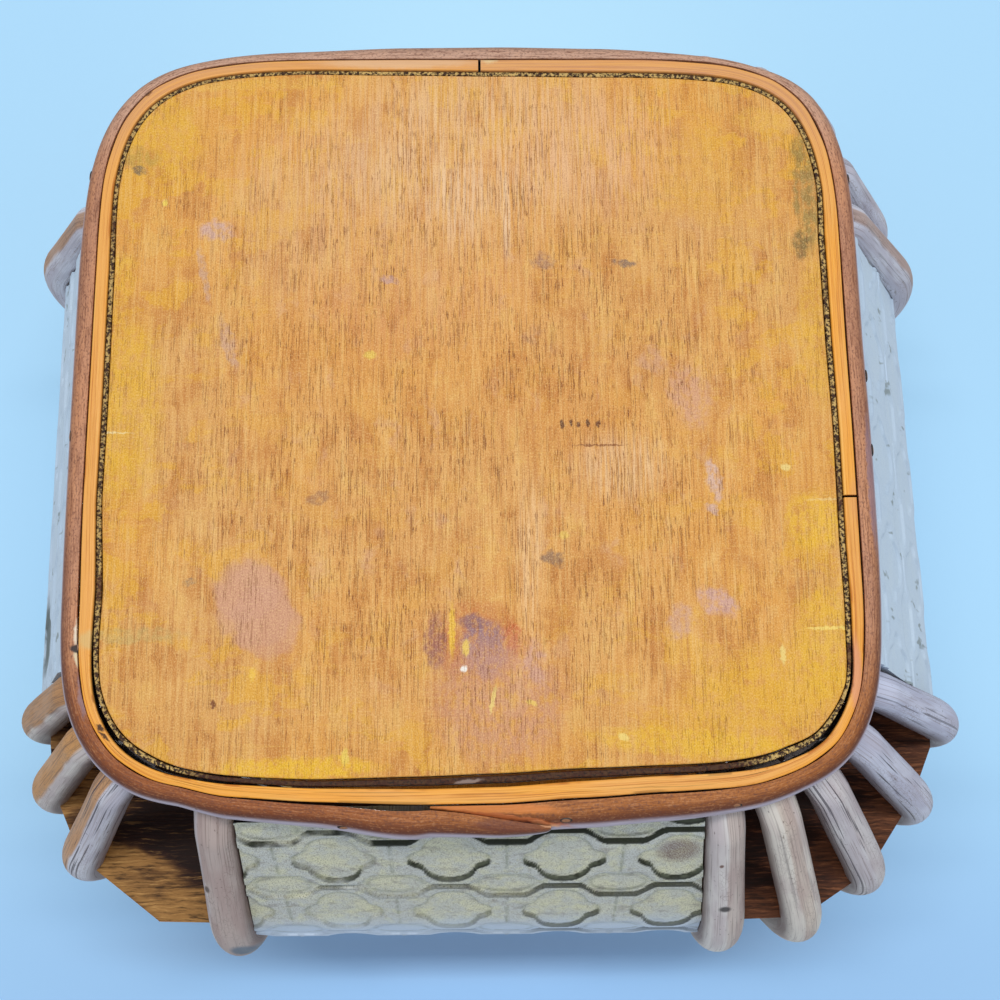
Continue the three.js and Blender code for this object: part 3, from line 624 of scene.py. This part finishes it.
def make_rod_finish():
    """Pale rattan rod: bark stripes, dark lines along it, scalloped bark edges, painted shade on its
    far side.
    """
    f = Finish("pale_rattan_rod", 0.45, 0.4)
    straight = f.field("straight", "Vector")
    fine = f.noise(straight, (36, 0.45, 0.45), 3.0, 0.65)
    cloud = f.noise(straight, (24, 5.5, 5.5), 2.0, 0.5)
    mixed = f.step(cloud, 0.38, 0.62)
    cool = f.mix(mixed, tint(214, 216, 236), tint(194, 194, 214))
    warm = f.mix(mixed, tint(236, 224, 208), tint(214, 196, 186))
    f.colour = f.mix(f.field("warmth"), cool, warm)
    f.coat((140, 118, 112), f.step(fine, 0.5, 0.72, 0, 0.6))
    ragged = f.math("ADD", f.field("stripe"), f.step(cloud, 0.3, 0.7, -0.2, 0.2))
    bark = f.mix(f.field("golden"), tint(166, 128, 108), tint(214, 150, 72))
    bark = f.mix(f.step(fine, 0.48, 0.66, 0, 0.6), bark, tint(112, 78, 54))
    f.coat(bark, f.step(ragged, 0.22, 0.76), f.field("stripe_strength"))
    scale = f.vector("MULTIPLY", straight, (1 / 15, 1 / 7, 1 / 7))
    scallop = f.node("ShaderNodeTexVoronoi", scale, feature="DISTANCE_TO_EDGE")
    edge = f.times(f.step(scallop, 0.035, 0.0), f.step(f.noise(straight, (40, 6, 6), 1.0), 0.52, 0.6))
    f.coat((104, 76, 54), edge, 0.6)
    dark = f.step(f.noise(straight, (60, 0.8, 0.8), 2.0, 0.5), 0.60, 0.65)
    dark = f.times(dark, f.field("lines"))
    f.coat((60, 50, 62), dark, 0.85)
    speck = f.step(f.noise(straight, (1.4, 0.8, 0.8), 1.0), 0.70, 0.76)
    f.coat((96, 74, 66), speck, 0.6)
    # painted shade on the rod's far side
    side = f.step(f.field("facing"), 0.70, 0.08, 0.0, 0.7)
    f.coat((88, 62, 56), side)
    for px, py, height, wide, high, levels in [
        (724, 909, 58, 12, 6, (30, 18, 20)), (719, 866, 38, 4, 3, (110, 70, 50)),
        (209, 889, 50, 7, 7, (70, 50, 44)), (927, 697, 70, 9, 5, (60, 40, 60)),
        (246, 949, 92, 22, 12, (90, 110, 130)),
    ]:
        f.coat(levels, f.spot(f.place, px, py, wide, high, 0.4, 0, 0.9, height))
    f.bump(f.math("SUBTRACT", fine, dark), 0.35, 0.7)
    return f.paint(f.step(cloud, 0.3, 0.7, 0.38, 0.55))


def make_shoulder_finish():
    """Dark stained board: near-black towards the bottom in painted shade of the bottom and the ribs,
    golden towards its edge in painted light and wear.
    """
    f = Finish("dark_stained_board", 0.6, 0.2)
    place = f.place
    streaks = f.noise(f.warp(place, 9.0, 1.0), (11, 0.9, 5), 4.0, 0.7)
    far = f.vector("LENGTH", f.vector("MULTIPLY", place, (1.0, 1.0, 0.0)), out=1)
    reach = f.math("ADD", far, f.step(f.noise(place, (24, 9, 9), 3.0), 0.3, 0.7, -13, 13))
    left = f.step(f.split(place, 0), -20.0, 20.0)
    light = f.mix(left, tint(96, 56, 34), tint(160, 116, 64))
    # painted shade and light: from near-black towards the bottom to lit tones at the edge
    f.colour = f.mix(f.step(reach, 160.0, 182.0), tint(66, 32, 20), light)
    f.coat((26, 8, 6), f.step(reach, 176.0, 154.0, 0, 0.9))
    f.coat((28, 14, 8), f.step(streaks, 0.50, 0.36, 0, 0.75))
    # golden streaks towards the edge: painted light as well as wear
    bright = f.mix(left, tint(150, 96, 62), tint(206, 158, 96))
    f.coat(bright, f.step(streaks, 0.52, 0.68, 0, 0.7), f.step(reach, 150.0, 172.0, 0.1, 1.0))
    f.bump(streaks, 0.5, 0.6)
    return f.paint()


def make_sheet_finish():
    """Embossed sheet: chalky green-cream, dark olive along its falling steps, and a painted
    bluish-white reflection towards the bulge and on the side sheets.
    """
    f = Finish("embossed_sheet", 0.65, 0.15)
    laid, pressed = f.field("laid", "Vector"), f.field("pressed", "Vector")
    relief, falling_steps, groove = [f.split(pressed, axis) for axis in range(3)]
    length = f.split(laid, 1)
    cloud = f.noise(laid, 11.0, 4.0, 0.62)
    f.colour = f.mix(f.step(cloud, 0.38, 0.60), tint(228, 224, 196), tint(212, 212, 202))
    sunk = f.times(f.step(relief, 0.1, -0.6), f.step(cloud, 0.3, 0.6, 0.5, 1.0))
    f.coat((208, 210, 208), sunk, 0.8)
    creamy = f.step(f.noise(laid, 5.0, 3.0, 0.6), 0.5, 0.66)
    f.coat((232, 228, 184), creamy, 0.4)
    dirty = f.step(f.noise(laid, (9, 6, 6), 3.0, 0.65), 0.54, 0.68, 0, 0.5)
    f.coat((150, 142, 138), dirty)
    speck = f.noise(laid, 0.42, 2.0, 0.75)
    f.coat((118, 114, 86), f.step(speck, 0.51, 0.66, 0, 0.85))
    f.coat((150, 138, 128), f.step(f.noise(laid, 1.6, 3.0, 0.7), 0.52, 0.66, 0, 0.45))
    f.coat((246, 242, 214), f.step(speck, 0.45, 0.30, 0, 0.5))
    # painted reflection: bluish-white of the pale table, towards and past the bulge
    below = f.step(length, 64.0, 84.0)
    f.coat((212, 228, 250), below, 0.85)
    left = f.step(f.split(laid, 0), 45.0, -20.0, 0.0, 0.4)
    broken = f.step(f.math("ADD", f.noise(laid, (12, 8, 8), 2.0), left), 0.42, 0.62, 0.35, 1.0)
    lost = f.times(f.step(length, 34.0, 54.0), f.step(f.split(laid, 0), -40.0, 20.0, 0.15, 0.65))
    faded = f.times(f.step(length, 98.0, 74.0, 0.25, 1.0), f.math("SUBTRACT", 1.0, lost))
    # dark olive along the steps where the relief falls towards the rim
    f.coat((26, 30, 14), falling_steps, broken, faded, 0.97)
    grey = f.times(groove, f.step(f.noise(laid, 4.0, 2.0), 0.35, 0.55), 0.6)
    f.coat((134, 138, 116), grey)
    front = f.step(f.split(f.place, 1), -100.0, -112.0)
    worn = f.oval(laid, (-61.5, 22.0), (7.5, 9.0), 1.15, 0.5)
    f.coat((120, 92, 88), worn, front, f.step(speck, 0.38, 0.56, 0.3, 1.0), 0.85)
    side = f.math("SUBTRACT", 1.0, front)
    smudge = f.step(f.noise(laid, (9, 26, 9), 3.0, 0.65), 0.60, 0.66)
    # painted reflection: the side sheets bluish-white
    f.coat((212, 230, 248), side, 0.85)
    f.coat((112, 118, 100), smudge, side, f.step(length, 8.0, 20.0), 0.6)
    olive = f.spot(f.warp(f.place, 6.0, 3.0), 56, 642, 22, 84, 0.4, 0, 0.8, 85.0)
    f.coat((74, 78, 62), olive, side)
    # painted shade where the sheet runs under the bands
    f.painted_gap_shade(13.1, 12.6)
    f.bump(f.math("ADD", f.times(speck, 0.4), cloud), 0.35, 0.6)
    return f.paint()


def make_nail_finish():
    """Nail heads gone brown, dark round their rims."""
    f = Finish("nail_heads", 0.45, 0.5)
    dark = f.step(f.field("round"), 0.5, 0.75)
    f.colour = f.mix(dark, tint(150, 100, 66), tint(16, 10, 8))
    f.coat((96, 66, 44), f.step(f.noise(f.place, 0.8), 0.5, 0.7, 0, 0.4))
    return f.paint()


board_finish = make_board_finish("amber_board", False)
bottom_finish = make_board_finish("marked_amber_board", True)
edging_finish = make_edging_finish()
inner_band_finish = make_inner_band_finish()
outer_band_finish = make_outer_band_finish()
rod_finish = make_rod_finish()
shoulder_finish = make_shoulder_finish()
sheet_finish = make_sheet_finish()
nail_finish = make_nail_finish()


# ---- bottom and rim
def plate(outer, inner, height, round_edge, low=0.0):
    """Sections of a flat plate or ring on the rounded square: columns go round
    its rounded-edged section, rows round the outline."""
    turns, _ = even_turns(0, CIRCLE, 721)
    turns = turns[:-1]
    r = round_edge
    arc = np.linspace(0, np.pi / 2, 5)
    edge_out = np.concatenate([
        np.stack([outer - r + r * np.sin(arc), low + r - r * np.cos(arc)], 1),
        np.stack([outer - r + r * np.cos(arc), height - r + r * np.sin(arc)], 1),
    ])

    def ring(offset, z, scale=1.0):
        return np.concatenate([rim(turns, offset) * scale, np.full((len(turns), 1), z)], 1)

    if inner is None:
        scales = [0.0, 0.4, 0.8]
        rings = [ring(-r, low, s) for s in scales]
        rings += [ring(o, z) for o, z in edge_out]
        rings += [ring(-r, height, s) for s in scales[::-1]]
        return np.stack(rings, 1)
    edge_in = np.stack([2 * inner - (edge_out[::-1, 0] - outer + inner), edge_out[::-1, 1]], 1)
    return np.stack([ring(o, z) for o, z in np.concatenate([edge_out, edge_in])], 1)


def strip_end(side, joint, past):
    """The running angle where a strip ends beside a butt joint: before it where
    past is -1, and after it where past is 1."""
    return turn_at(side, joint + past * BUTT_GAP / 2)


def bell(turns, middle, reach, height):
    """A bell curve of the outline's length about a middle length."""
    return height * np.exp(-((length_at(turns) - middle) / reach) ** 2)


# How far the inner band stands off the edging: bell curves at the two front corners
# and along the front
FRONT_GAPS = ((694.0, 26.0, 1.3), (497.0, 24.0, 1.3), (590.0, 50.0, 0.6))


def laid_out(*parts):
    """Vectors of the length along a piece, the place across it and its height."""
    return np.stack(np.broadcast_arrays(*parts), -1)


def inner_band_points(start, end, count=900, r=0.5):
    """A strip of the inner band between two running angles: a box with rounded
    edges carried along the outline, thin at the front corners and gently wavy."""
    turns, length = even_turns(start, end, count)
    gap = sum(bell(turns, *curve) for curve in FRONT_GAPS)
    out = (INNER_OFFSET + gap)[:, None]
    wave = 0.18 * np.sin(turns * 9.0) + 0.12 * np.sin(turns * 23.0 + 1.0)
    thick = (INNER_THICKNESS - 0.15 + wave * 0.6 - gap * 0.8)[:, None]
    corners = np.array([
        (cx, cz, np.cos(first + arc), np.sin(first + arc))
        for cx, cz, first in ((1, -1, -np.pi / 2), (1, 1, 0), (-1, 1, np.pi / 2), (-1, -1, np.pi))
        for arc in np.linspace(0, np.pi / 2, 4)])
    cx, cz, dx, dz = corners.T
    offset = out + thick / 2 + cx * (thick / 2 - r) + dx * r
    height = BAND_HEIGHT / 2 + cz * (BAND_HEIGHT / 2 - r) + dz * r
    flat = rim(np.repeat(turns[:, None], len(corners), 1), offset)
    points = np.concatenate([flat, np.broadcast_to(height[:, None], (*offset.shape, 1))], -1)
    return points, laid_out(length[:, None], out + cx * thick / 2, cz * BAND_HEIGHT / 2)


# The outer band's lap at the front: places along X of its outer end's tip, of the
# inner end under it, and where the outer end is full and where it has settled. Then
# the outer end's thickness at its tip and what it has beyond the band's where full,
# its bulge, and the inner end's thickness at places along X
LAP_TIP, LAP_ROOT, LAP_FULL, LAP_SETTLED = -22.0, 11.7, 16.0, 80.0
TIP_THICKNESS, LAP_SWELL = 1.0, 1.2
LAP_BULGE = (618.0, 16.0, 1.1)
THINNING = ((-49, -21, -9, LAP_ROOT), (OUTER_THICKNESS, 5.9, 3.9, 1.1))


def outer_band_points(count=1400, around=24):
    """The outer band: half-round sections carried along the outline. At the front
    its outer end, drawn out thin, passes over its thinned inner end."""
    start, end = turn_at(-1, LAP_TIP), turn_at(3, LAP_ROOT)
    turns, length = even_turns(start, end, count)
    x = rim(turns)[:, 0]
    inside = turns > np.pi
    over = turns < turn_at(-1, LAP_SETTLED)
    settle = np.clip((x - LAP_ROOT) / (LAP_SETTLED - LAP_ROOT), 0, 1)
    growth = np.clip((x - LAP_TIP) / (LAP_FULL - LAP_TIP), 0, 1) ** 0.7
    under = np.interp(x, *THINNING)
    lift = np.where(over, (under - 0.9) * (1 - settle) + bell(turns, *LAP_BULGE), 0.0)
    lap = TIP_THICKNESS + (OUTER_THICKNESS + LAP_SWELL - TIP_THICKNESS) * growth
    lap = lap - LAP_SWELL * smooth_step(20, 75, x)
    thick = np.where(inside, under, np.where(over, lap, OUTER_THICKNESS))
    offset = OUTER_OFFSET + lift
    angle = np.linspace(-np.pi / 2, np.pi / 2, around)
    out = np.abs(np.cos(angle)) ** 0.62
    up = 0.5 + 0.5 * np.sign(np.sin(angle)) * np.abs(np.sin(angle)) ** 1.05
    out = np.concatenate([out, [0.0, 0.0]])
    up = np.concatenate([up, [0.66, 0.33]])
    points = np.concatenate([
        rim(np.repeat(turns[:, None], len(out), 1), offset[:, None] + out * thick[:, None]),
        np.broadcast_to((up * BAND_HEIGHT)[:, None], (count, len(out), 1)),
    ], -1)
    return points, laid_out(length[:, None], out * OUTER_THICKNESS, up * BAND_HEIGHT)


def make_band(name, node, finish, points, straight):
    band = make_mesh(name, points, finish, caps=True, fields={"straight": straight})
    stand_in(band, "band_rattan", node)


def make_bottom():
    points = plate(0.0, None, BAND_HEIGHT, 0.5)
    board = make_mesh("bottom_board", points, bottom_finish, loop_rows=True, loop_columns=False)
    stand_in(board, "board_plywood", "base_board")
    points = plate(EDGING_OFFSET, EDGING_INNER, BAND_HEIGHT, 0.3, low=0.7)
    edging = make_mesh("bottom_edging", points, edging_finish, loop_rows=True)
    stand_in(edging, "edging_strip", "base_edging")
    ends = {
        "a": (strip_end(-2, SIDE_JOINT, 1), strip_end(1, BACK_JOINT, -1)),
        "b": (strip_end(1, BACK_JOINT, 1), strip_end(2, SIDE_JOINT, -1)),
    }
    for key, turns in ends.items():
        name = "inner_band_" + key
        make_band("bottom_" + name, "base_" + name, inner_band_finish, *inner_band_points(*turns))
    make_band("bottom_outer_band", "base_outer_band", outer_band_finish, *outer_band_points())


def make_rim():
    points = upside_down(plate(EDGING_OFFSET, -RIM_WIDTH, BAND_HEIGHT, 0.7))
    board = make_mesh("rim_board", points, board_finish, loop_rows=True)
    stand_in(board, "board_plywood", "top_frame")
    ends = strip_end(-3, BACK_JOINT, 1), strip_end(1, BACK_JOINT, -1)
    points, straight = inner_band_points(*ends)
    make_band("rim_inner_band", "top_inner_band", inner_band_finish, upside_down(points), straight)
    points, straight = outer_band_points()
    make_band("rim_outer_band", "top_outer_band", outer_band_finish, upside_down(points), straight)


# ---- ribs
def slope_angle(reach):
    """The angle from upright of a slope that ends in a bow to upright: it solves
    (rise - R sin a) tan a + R (1 - cos a) = reach."""
    low, high = 0.0, np.pi / 2
    for _ in range(50):
        a = (low + high) / 2
        if (RISE - BOW_RADIUS * np.sin(a)) * np.tan(a) + BOW_RADIUS * (1 - np.cos(a)) < reach:
            low = a
        else:
            high = a
    return low


def profile(reach, length):
    """How far out and how high over the seat a slope with a bow is at lengths
    along it, mirrored above half height, and its angle from upright."""
    a = slope_angle(reach)
    slope = (RISE - BOW_RADIUS * np.sin(a)) / np.cos(a)
    half = slope + BOW_RADIUS * a
    run = half - np.abs(half - length)
    side = np.sign(half - length)
    turned = np.clip(a - (run - slope) / BOW_RADIUS, 0.0, a)
    short = np.maximum(slope - run, 0.0)
    out = reach - BOW_RADIUS * (1 - np.cos(turned)) - short * np.sin(a)
    down = BOW_RADIUS * np.sin(turned) + short * np.cos(a)
    return out, RISE - side * down, turned * side, 2 * half


def make_rib(name, entry, seed, rings=170, around=32):
    """A rod of round sections square to its line, with slight swellings, cut
    level at both ends: the end rings slide along the rod to the seat."""
    foot, bulge = np.array(entry[:2]), np.array(entry[2:4])
    low, high, golden, strength, lines, warmth = entry[4:]
    reach = np.linalg.norm(bulge - foot)
    way = (bulge - foot) / reach
    total = profile(reach, np.zeros(1))[3]
    inset = ROD_RADIUS * np.tan(slope_angle(reach)) + 1.5
    s = np.concatenate([[0.0], np.linspace(inset, total - inset, rings), [total]])
    x, z, lean, _ = profile(reach, s)
    line = np.stack([foot[0] + way[0] * x, foot[1] + way[1] * x, SEAT_HEIGHT + z], 1)
    tangent = np.stack([way[0] * np.sin(lean), way[1] * np.sin(lean), np.cos(lean)], 1)
    side = np.array([-way[1], way[0], 0.0])
    out = np.cross(side, tangent)
    angle = np.linspace(0, CIRCLE, around, endpoint=False)
    phase = np.random.default_rng(seed).uniform(0, 6.28, 4)
    swell = smooth_step(10, 80, np.minimum(s, total - s))[:, None]
    radius = ROD_RADIUS - 0.2 + 0.65 * swell + 0.16 * np.sin(s[:, None] / 19 + phase[0]) * swell
    radius = radius + 0.12 * np.sin(2 * angle + phase[1] + s[:, None] / 60)
    points = line[:, None] + radius[..., None] * (
        np.cos(angle)[None, :, None] * side + np.sin(angle)[None, :, None] * out[:, None])
    # both feet turn in a little to go under the bands
    tuck = FOOT_TUCK * smooth_step(TUCK_LENGTH, 0.0, np.minimum(s, total - s))
    points[..., :2] -= tuck[:, None, None] * way
    for row, level in ((0, FOOT_LEVEL), (-1, HEAD_LEVEL)):
        slide = (level - points[row, :, 2]) / tangent[row, 2]
        points[row] += slide[:, None] * tangent[row]
    # the looks. A rod's far side gets painted shade, but not that of the ribs at the back
    front = smooth_step(-0.5, 0.2, np.sin(angle))
    across = np.cos(angle)
    stripe = smooth_step(low - 0.22, low + 0.22, across) * smooth_step(high + 0.22, high - 0.22, across)
    looks = {
        "stripe": stripe * front + 0.3 * (1 - front), "golden": golden, "stripe_strength": strength,
        "lines": lines, "warmth": warmth,
        "facing": np.sin(angle) + (1.0 if name.startswith("back") else 0.0),
    }
    fields = {key: np.broadcast_to(value, radius.shape) for key, value in looks.items()}
    own_stretch = s[:, None] + 500.0 * seed
    fields["straight"] = laid_out(own_stretch, radius * np.cos(angle), radius * np.sin(angle))
    rib = make_mesh("rib_" + name + "_rod", points, rod_finish, caps=True, fields=fields)
    stand_in(rib, "rib_rattan", "rib_" + name)


# ---- side sheets
COLUMN_PITCH, ROW_PITCH = 34.8, 37.8
FIRST_COLUMN, FIRST_ROW = 7.7, 25.1


def smooth_union(first, second, blend):
    """The smaller of two distances with a rounded joint."""
    share = np.clip(0.5 + 0.5 * (second - first) / blend, 0, 1)
    return second * (1 - share) + first * share - blend * share * (1 - share)


def lattice(place, length):
    """The pressed pattern's height, from -0.9 in the cells to 0.9 on the straps
    and medallions. A cell spans the columns' pitch and narrows to its sides, a
    medallion is an upright oval joined with a lying one, and a low boss lies
    where four cells meet. Also gives where thin grooves run."""
    u = (place - FIRST_COLUMN + COLUMN_PITCH / 2) % COLUMN_PITCH - COLUMN_PITCH / 2
    t = (length - FIRST_ROW + ROW_PITCH / 2) % ROW_PITCH - ROW_PITCH / 2
    au, at = np.abs(u), np.abs(t)
    cell = at - (17.9 - 6.9 * smooth_step(5.0, 12.2, au))
    cell = cell / np.where((au > 5.0) & (au < 12.2), 1.45, 1.0)
    upright = ((au / 8.6) ** 2.3 + (at / 14.6) ** 2.3) ** (1 / 2.3) * 9.0 - 9.0
    lying = ((au / 12.4) ** 2.5 + (at / 6.2) ** 2.5) ** 0.4 * 7.0 - 7.0
    medallion = smooth_union(upright, lying, 1.3)
    corner_u, corner_t = COLUMN_PITCH / 2 - au, ROW_PITCH / 2 - at
    boss = (np.hypot(corner_u / 9.0, corner_t / 5.4) - 1) * 6.0
    height = -0.9 + 1.8 * smooth_step(-0.35, 0.35, cell)
    crowned = 1 + 0.12 * np.clip(-medallion / 7, 0, 1)
    height = np.maximum(height, -0.9 + 1.75 * smooth_step(0.35, -0.35, medallion) * crowned)
    height = height + 0.35 * smooth_step(0.5, -0.7, boss)
    divide = np.exp(-((COLUMN_PITCH / 2 - au) / 0.5) ** 2) * smooth_step(10.5, 8.5, at)
    rim_line = np.exp(-((medallion + 0.2) / 0.5) ** 2) + np.exp(-((boss + 0.2) / 0.5) ** 2)
    return height - 0.45 * divide, np.clip(divide + 0.6 * rim_line, 0, 1)


def make_sheet(name, out, first, last, rows=300, columns=236):
    """A bowed sheet between two ribs: its outer face carries the pattern, and
    its inner face lies its thickness further in. Rows run up the profile, and
    columns from rib to rib."""
    out = np.array(out, float)
    across = np.array([-out[1], out[0]])
    edges = []
    for sign, (rib, crown) in ((1, first), (-1, last)):
        foot, bulge = np.array(RIBS[rib][:2]), np.array(RIBS[rib][2:4])
        way = bulge - foot
        lean = (way @ across) / (way @ out)
        inward = sign * (ROD_RADIUS + PANEL_SIDE_GAP) * np.hypot(1, lean)
        edges.append((foot, lean, inward, crown))
    share = np.linspace(0, 1, columns)[None, :]
    mean_reach = (edges[0][3] + edges[1][3]) / 2 - PANEL_FOOT
    total = profile(mean_reach, np.zeros(1))[3]
    length = np.linspace(0, total, rows)
    x, z, lean_angle, _ = profile(mean_reach, length)
    crown_shift = (edges[0][3] - mean_reach - PANEL_FOOT) * (1 - 2 * share)
    bow_share = (x / mean_reach)[:, None]

    def face(depth):
        """Points of the face moved out along its normal by a depth."""
        distance = PANEL_FOOT + x[:, None] + crown_shift * bow_share
        distance = distance + depth * np.cos(lean_angle)[:, None]
        height = SEAT_HEIGHT + z[:, None] - depth * np.sin(lean_angle)[:, None]
        height = np.clip(height, FOOT_LEVEL, HEAD_LEVEL)
        ends = [f @ across + (distance - f @ out) * lean + inward for f, lean, inward, _ in edges]
        place = ends[0] * (1 - share) + ends[1] * share
        flat = out * distance[..., None] + across * place[..., None]
        return np.concatenate([flat, height[..., None] + 0 * place[..., None]], -1), place

    _, place = face(np.zeros((rows, columns)))
    grid = np.broadcast_to(length[:, None], place.shape)
    relief, groove = lattice(place, grid)
    fall = -np.gradient(relief, axis=0)
    fall = np.maximum(fall, np.concatenate([fall[:1], fall[:-1]]))
    falling_steps = smooth_step(0.05, 0.3, fall)
    border = smooth_step(0.0, 2.2, np.minimum(grid, total - grid))
    # the straps and medallions are pressed in, so their lower steps face the foot
    outer, _ = face(-RELIEF * relief * border)
    inner, _ = face(np.full((rows, columns), -PANEL_THICKNESS))
    fields = {"laid": laid_out(place, grid, 0.0), "pressed": laid_out(relief, falling_steps, groove)}
    return sheet_mesh(name, outer, inner, fields)


def sheet_mesh(name, outer, inner, fields):
    """Closes the outer face and a coarser inner face of a sheet into one shell."""
    rows, columns = outer.shape[:2]
    few = np.unique(np.concatenate([np.arange(0, columns, 12), [columns - 1]]))
    count = rows * columns
    face_index = np.arange(count).reshape(rows, columns)
    back_index = count + np.arange(rows * len(few)).reshape(rows, len(few))
    faces = quads(face_index[:-1, :-1], face_index[:-1, 1:], face_index[1:, 1:], face_index[1:, :-1])
    faces += quads(back_index[:-1, :-1], back_index[1:, :-1], back_index[1:, 1:], back_index[:-1, 1:])
    for edge in (0, -1):
        face_edge, back_edge = face_index[:, edge], back_index[:, edge]
        faces += quads(face_edge[:-1], face_edge[1:], back_edge[1:], back_edge[:-1])
        face_row, back_row = face_index[edge].tolist(), back_index[edge].tolist()
        for k in range(len(few) - 1):
            faces.append(face_row[few[k]:few[k + 1] + 1] + [back_row[k + 1], back_row[k]])

    def both(values):
        return np.concatenate([values.reshape(-1, 3), values[:, few].reshape(-1, 3)])

    points = np.concatenate([outer.reshape(-1, 3), inner[:, few].reshape(-1, 3)])
    spread = {key: both(values) for key, values in fields.items()}
    return make_piece(name, points, faces, sheet_finish, spread)


# ---- nails
NAIL_SIZE, NAIL_LONG, NAIL_SHORT = 1.35, 1.45, 0.62


def make_nail(name, px, py, height, tilt):
    """A flattened nail head on a band, at the place seen at a pixel and a height,
    facing down and by a tilt outward. Oval rings of a dome with a rim."""
    x, y = seen_at(px, py, height)
    way = np.array([x, y])
    side = np.argmax(np.abs(way))
    out = np.zeros(3)
    out[side] = np.sign(way[side])
    normal = np.array([0.0, 0.0, -1.0]) * np.cos(tilt) + out * np.sin(tilt)
    along = np.cross(normal, out)
    along /= np.linalg.norm(along)
    other = np.cross(along, normal)
    radius = np.array([0.0, 0.35, 0.7, 0.9, 1.0, 1.0])
    lift = np.array([0.34, 0.32, 0.24, 0.14, 0.02, -0.6])
    angle = np.linspace(0, CIRCLE, 20, endpoint=False)
    flat = NAIL_LONG * np.cos(angle)[:, None] * along + NAIL_SHORT * np.sin(angle)[:, None] * other
    dome = radius[:, None, None] * flat + lift[:, None, None] * normal
    points = np.array([x, y, height]) + NAIL_SIZE * dome
    fields = {"round": np.broadcast_to(radius[:, None], (len(radius), len(angle)))}
    nail = make_mesh(name, points, nail_finish, caps=True, fields=fields)
    stand_in(nail, "band_rattan")


# The nails: where each is seen in the photograph, its height and its tilt
NAILS = [
    (201, 808, 2.4, 0.9), (344, 827, 2.4, 0.9), (566, 820, 1.2, 0.6), (736, 804.5, 1.4, 0.6),
    (848, 180, 3.0, 1.2), (866, 376, 3.0, 1.2), (872, 450, 3.0, 1.2), (91, 177, 3.0, 1.2),
    (71, 436, 2.0, 0.9), (77, 648, 0.8, 0.3),
]


# ---- scene
def make_floor(name, height, up, colour, light_and_shadow_tones=()):
    """A floor that shows from one side only and lets every other ray through.
    Tones are ovals at pixels of the photograph in other colours."""
    size = 6.0
    corners = [(-size, -size), (size, -size), (size, size), (-size, size)]
    if not up:
        corners = corners[::-1]
    mesh = bpy.data.meshes.new(name)
    mesh.from_pydata([(x, y, height) for x, y in corners], [], [(0, 1, 2, 3)])
    f = Finish(name, 1.0)
    f.colour = tint(*colour)
    # pixels are larger on the table than on the bottom, as it lies further from the eye
    pixel = (HEIGHT - EYE[2]) / -EYE[2] / PIXELS_PER_MM
    # the tones are painted light and shadow on the floor
    for px, py, wide, high, levels, strength in light_and_shadow_tones:
        half = (wide / 2 * pixel, high / 2 * pixel)
        f.coat(levels, f.oval(f.place, seen_at(px, py, HEIGHT), half, 1.9, 0.1), strength)
    cloth = f.node("ShaderNodeBsdfDiffuse", f.colour)
    clear = f.node("ShaderNodeBsdfTransparent")
    front = f.math("SUBTRACT", 1.0, f.node("ShaderNodeNewGeometry", out="Backfacing"))
    shown = f.times(f.node("ShaderNodeLightPath", out="Is Camera Ray"), front)
    mixed = f.node("ShaderNodeMixShader", shown, clear, cloth)
    f.links.new(mixed, f.nodes["Material Output"].inputs["Surface"])
    f.nodes.remove(f.shader)
    mesh.materials.append(f.material)
    add_object(name, mesh)


def make_lamp(name, place, size, power, colour=(1.0, 1.0, 1.0)):
    """A rectangular lamp that faces the basket's middle, its long side along X."""
    data = bpy.data.lights.new(name, "AREA")
    data.shape = "RECTANGLE"
    data.size, data.size_y = size
    data.energy = power
    data.color = colour
    lamp = add_object(name, data)
    lamp.location = place
    way = Vector((0.0, 0.0, 0.105)) - Vector(place)
    lamp.rotation_mode = "QUATERNION"
    lamp.rotation_quaternion = way.to_track_quat("-Z", "Y")


def make_light():
    world = bpy.data.worlds.new("studio")
    bpy.context.scene.world = world
    world.use_nodes = True
    nodes, links = world.node_tree.nodes, world.node_tree.links
    sky = nodes["Background"]
    sky.inputs["Color"].default_value = (0.80, 0.90, 1.0, 1.0)
    sky.inputs["Strength"].default_value = 0.6
    backdrop = nodes.new("ShaderNodeBackground")
    backdrop.inputs["Color"].default_value = tint(178, 216, 252)
    path = nodes.new("ShaderNodeLightPath")
    mixed = nodes.new("ShaderNodeMixShader")
    links.new(path.outputs["Is Camera Ray"], mixed.inputs[0])
    links.new(sky.outputs[0], mixed.inputs[1])
    links.new(backdrop.outputs[0], mixed.inputs[2])
    links.new(mixed.outputs[0], nodes["World Output"].inputs["Surface"])
    make_lamp("key_below", (0.0, 0.17, -1.6), (1.4, 0.14), 15.2, (1.0, 0.98, 0.95))
    make_lamp("key_above", (0.0, 0.2, 1.8), (0.25, 0.25), 16.0)


make_camera()
make_bottom()
make_rim()
for number, (rib_name, rib_entry) in enumerate(RIBS.items()):
    make_rib(rib_name, rib_entry, number + 1)
for side_name, (side_way, side_first, side_last) in SHEETS.items():
    sheet = make_sheet("sheet_" + side_name, side_way, side_first, side_last)
    stand_in(sheet, "embossed_panel", "panel_" + side_name)
for number, (px, py, height, tilt) in enumerate(NAILS):
    make_nail("nail_%02d" % (number + 1), px, py, height, tilt)
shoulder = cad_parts["shoulder_frame"].data
shoulder.materials.clear()
shoulder.materials.append(shoulder_finish)
# the table just past the rim, seen from the basket's side, and a floor under the bottom
make_floor("table", 0.2102, False, (186, 228, 255), [
    # painted light: paler about the back
    (500, 60, 500, 300, (196, 236, 255), 0.8),
    # painted shade: darker towards the front
    (520, 1000, 1400, 330, (164, 204, 246), 0.9),
    # painted shadow of the front sheet on the table
    (480, 943, 430, 44, (150, 170, 196), 0.75),
])
make_floor("floor", -0.0005, True, (215, 225, 235))
make_light()
bpy.context.scene.view_settings.view_transform = "Standard"
